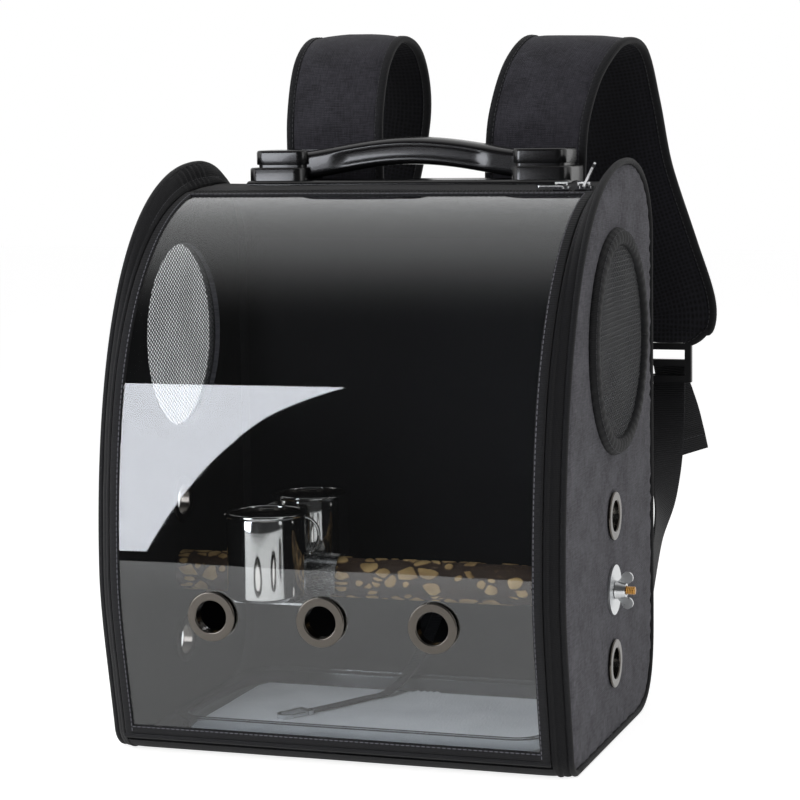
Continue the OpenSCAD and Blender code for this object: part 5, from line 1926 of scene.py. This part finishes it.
def strap_half(share, count):
    """Half the strap's width at a share of its route: it draws in over its last sixth."""
    left = (1 - share) * (count - 1)
    narrow = WEBBING_W / 2 + 4
    share_left = min(left, NARROWS_OVER) / NARROWS_OVER
    return narrow + (STRAP_HALF - narrow) * math.sin(math.radians(90 * share_left))


def trimmed(rings):
    """Lifts points under the bag's top onto it and drops the rings wholly below it."""
    rings = np.array(rings)
    floor = np.interp(rings[..., 1], top_surface[:, 0], top_surface[:, 1])
    below = (rings[..., 2] < floor) & (rings[..., 1] < rear_y - 4)
    first = max(0, int(np.argmin(below.all(axis=1))) - 1)
    rings[..., 2] = np.where(below, floor, rings[..., 2])
    return rings[first:], first


for side, label in SIDES:
    line = smooth_line(strap_points[label], STEPS_BETWEEN)
    wides = smooth_line(strap_wides[label], STEPS_BETWEEN)
    count = len(line)
    run = arc_length(line)
    share = np.linspace(0, 1, count)
    halves = np.array([strap_half(s, ROUTE_PARTS) for s in share])
    bend = np.linalg.norm(np.gradient(run_ways(line), run, axis=0), axis=1)
    sections = []
    for k in range(count):
        flat = rounded_section(2 * (halves[k] - EDGE_W + 1.2), STRAP_T, PAD_POINTS, 0.5, 0.55)
        inside = flat[:, 1] > 0
        crease = 0.5 * np.sin(run[k] / CREASE_PITCH * 2 * np.pi + 0.04 * flat[:, 0])
        crease = crease * np.clip(bend[k] * 60, 0, 1)
        crease = np.where(inside, crease, -0.35 * np.abs(crease))
        flat[:, 1] += crease * np.cos(flat[:, 0] / halves[k] * 1.5)
        flat[:, 1] += slack(flat[:, 0], run[k], 26, 0.35, 3 + side)
        flat[:, 1] = np.clip(flat[:, 1], -STRAP_T / 2, STRAP_T / 2)
        sections.append(flat)
    rings, frames = swept(line, wides, sections)
    rings, first = trimmed(rings)
    points, faces = loft(rings)
    cloth = strap_cloth(line[first:], sections[first:])
    name = f"strap_pad_{label}"
    made = piece(name + "_foam", points, faces, strap_heather, "bag", [name], cloth)
    half_turn = full_turn(PAD_POINTS) + np.pi / PAD_POINTS
    under = np.tile(np.sin(half_turn) > 0, len(rings) - 1)
    line_inside(made, spacer_mesh, under)

    parts = []
    cloth = []
    seams = []
    for edge in (-1, 1):
        tape = [rounded_section(6.4, 5.2, 18, 0.6, 0.15)] * count
        places = list(zip(line, frames, halves))
        middle = np.array([at + f[0] * edge * (h - TAPE_IN) for at, f, h in places])
        edge_rings, _ = swept(middle, wides, tape)
        edge_rings, start = trimmed(edge_rings)
        parts.append(loft(edge_rings))
        cloth += strap_cloth(middle[start:], tape[start:])
        for face in (-1, 1):
            seam = np.array([at + f[0] * edge * (h - EDGE_W) + f[1] * face * 2.45 for at, f, h in places])
            out = np.array([f[1] * face for f in frames])
            seams.append(stitches(seam[first + 3 :], out[first + 3 :], SEAM_PITCH))
    for height_z in SEWN_AT_Z:
        k = int(np.argmin(np.abs(line[:40, 2] - height_z)))
        side_way, up_way = frames[k]
        reach = np.linspace(-halves[k] + 7, halves[k] - 7, 30)[:, None]
        thick = STRAP_T / 2 * (1 - 0.55 * (reach / halves[k]) ** 2)
        seam = line[k] + reach * side_way - up_way * (thick + 0.05)
        seams.append(stitches(seam, np.tile(-up_way, (30, 1)), SEAM_PITCH))
    points, faces = joined(parts)
    name = f"strap_binding_{label}"
    piece(name + "_tape", points, faces, binding_tape, "bag", [name], cloth)
    points, faces = joined(seams)
    piece(f"strap_stitches_{label}", points, faces, thread, "bag")
print("strap pads", round(run[-1]), "mm long")

# %% [markdown]
# ## Buckles, webbing and anchors
#
# The webbing is sewn into a triangular tab at the bag's rear seam, climbs to the three-bar buckle
# at the pad's end, turns over its middle bar and hangs down as a free tail with a folded tip.

# %% Webbing
WEB_T = 1.8


def flat_ribbon(name, line, wides, sections):
    """Webbing along a line in place of a CAD strap; returns the directions at its points."""
    rings, frames = swept(line, wides, sections)
    points, faces = loft(rings)
    cloth = strap_cloth(line, sections)
    piece(name + "_ribbon", points, faces, webbing, "bag", [name], cloth)
    return frames


tab_x = box_mm("strap_anchor_right")[1][0] + WEB_T / 2 + 0.2
for side, label in SIDES:
    end = strap_points[label][-1]
    tab = side * tab_x
    route = [
        (end[0], 222.6, 235), (end[0], 222.6, 222), (end[0] + 0.35 * (tab - end[0]), 213, 190),
        (end[0] + 0.75 * (tab - end[0]), 197, 150), (tab, 170, 120), (tab, 142, 86),
    ]
    across = [(1, 0, 0), (1, 0, 0), (0.9, 0.3, 0.1), (0.5, 0.8, 0), (0.05, 1, -0.6), (0, 1, -0.9)]
    across = [(side * x, y, z) for x, y, z in across]
    line = smooth_line(route, 14)
    wides = smooth_line(across, 14)
    sections = [rounded_section(WEBBING_W, WEB_T, 20, 0.3)] * len(line)
    flat_ribbon(f"strap_webbing_{label}", line, wides, sections)

    tail = [(0, 222.6, 244), (2, 228, 229), (10, 236, 199), (16, 238, 173)]
    tail = [(end[0] + x * side, y, z) for x, y, z in tail]
    tail_across = [(1, 0, 0), (1, 0.1, 0), (0.9, 0.5, 0), (0.8, 0.6, 0)]
    tail_across = [(x, side * y, z) for x, y, z in tail_across]
    line = smooth_line(tail, 12)
    wides = smooth_line(tail_across, 12)
    run = arc_length(line)
    sections = []
    for s in run:
        doubled = 1 + 0.8 * float(soft_step(s, run[-1] - 17, run[-1] - 15))
        sections.append(rounded_section(WEBBING_W, WEB_T * doubled, 20, 0.3))
    frames = flat_ribbon(f"webbing_tail_{label}", line, wides, sections)
    k = int(np.searchsorted(run, run[-1] - 13))
    side_way, up_way = frames[k]
    reach = np.linspace(-WEBBING_W / 2 + 2, WEBBING_W / 2 - 2, 12)[:, None]
    rows = []
    for face in (-1, 1):
        seam = line[k] + reach * side_way + up_way * face * 1.65
        rows.append(stitches(seam, np.tile(up_way * face, (12, 1)), 3))
    points, faces = joined(rows)
    piece(f"tail_stitches_{label}", points, faces, thread, "bag")
    soften(f"ladder_lock_{label}", matt_acetal, 1.0, 3)

# %% [markdown]
# The anchor is a doubled tab of cloth in the side's rear seam, with two round corners and a row of
# stitches along its edge.

# %% Anchors
TAB_R = 4.0
SHARP_R = 0.2
SEAM_SHARE = 0.86
rear_seam_y = 129.2
tab_corners = np.array([(rear_seam_y, 48), (166, 90), (160, 114), (rear_seam_y, 98)])
outline = []
for k, corner_yz in enumerate(tab_corners):
    along = tab_corners[(k + 1) % 4] - corner_yz
    before = tab_corners[k - 1] - corner_yz
    before /= np.linalg.norm(before)
    after = along / np.linalg.norm(along)
    radius = TAB_R if corner_yz[0] > rear_seam_y else SHARP_R
    for t in np.linspace(0, 1, 7):
        outline.append(corner_yz + radius * ((1 - t) ** 2 * before + t**2 * after))
    for t in np.linspace(0.12, 0.88, 12):
        outline.append(corner_yz + along * t)
outline = np.array(outline)
for side, label in SIDES:
    low, high = box_mm(f"strap_anchor_{label}")
    tab_flat, tab_faces = cut_sheet(outline, [], 3)
    gap = outline_gap(tab_flat, outline)
    outer_x = max(abs(low[0]), abs(high[0]))
    inner_x = min(abs(low[0]), abs(high[0]))
    outer = np.column_stack([side * (outer_x - quarter_round(gap, 0.6)), tab_flat])
    inner = np.column_stack([np.full(len(tab_flat), side * inner_x), tab_flat])
    faces = tab_faces if side > 0 else [tuple(reversed(f)) for f in tab_faces]
    points, skin, cloth = thick_sheet(tab_flat, faces, outer, inner)
    name = f"strap_anchor_{label}"
    piece(name + "_cloth", points, skin, black_polyester, "bag", [name], cloth)
    middle = outline.mean(0)
    seam = middle + (outline - middle) * SEAM_SHARE
    seam = np.vstack([seam, seam[:1]])
    line = bag_point(side * (outer_x + 0.05), seam)
    points, faces = stitches(line, np.tile([side * 1.0, 0, 0], (len(line), 1)), 3)
    piece(f"anchor_stitches_{label}", points, faces, thread, "bag")

# %% [markdown]
# ## Zipper sliders
#
# Two chromed sliders meet on the window's top zipper. They keep their CAD shape, with the edges
# rounded as a die-casting has them.

# %% Sliders and pulls
for label in ("a", "b"):
    soften(f"zip_slider_{label}", chrome, 0.35, 3)
    soften(f"zip_pull_{label}", chrome, 0.3, 3)

# %% [markdown]
# ## Size and finish
#
# Both boxes are printed: the CAD model's and the dressed bag's. The dressed bag has to
# stay in the CAD model's box.

# %% Write the sizes and finish
visual_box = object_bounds()
for label, cad, visual in zip(("low", "high"), cad_box, visual_box):
    print(label, "cad", [round(v * 1000, 1) for v in cad])
    print(label, "visual", [round(v * 1000, 1) for v in visual])
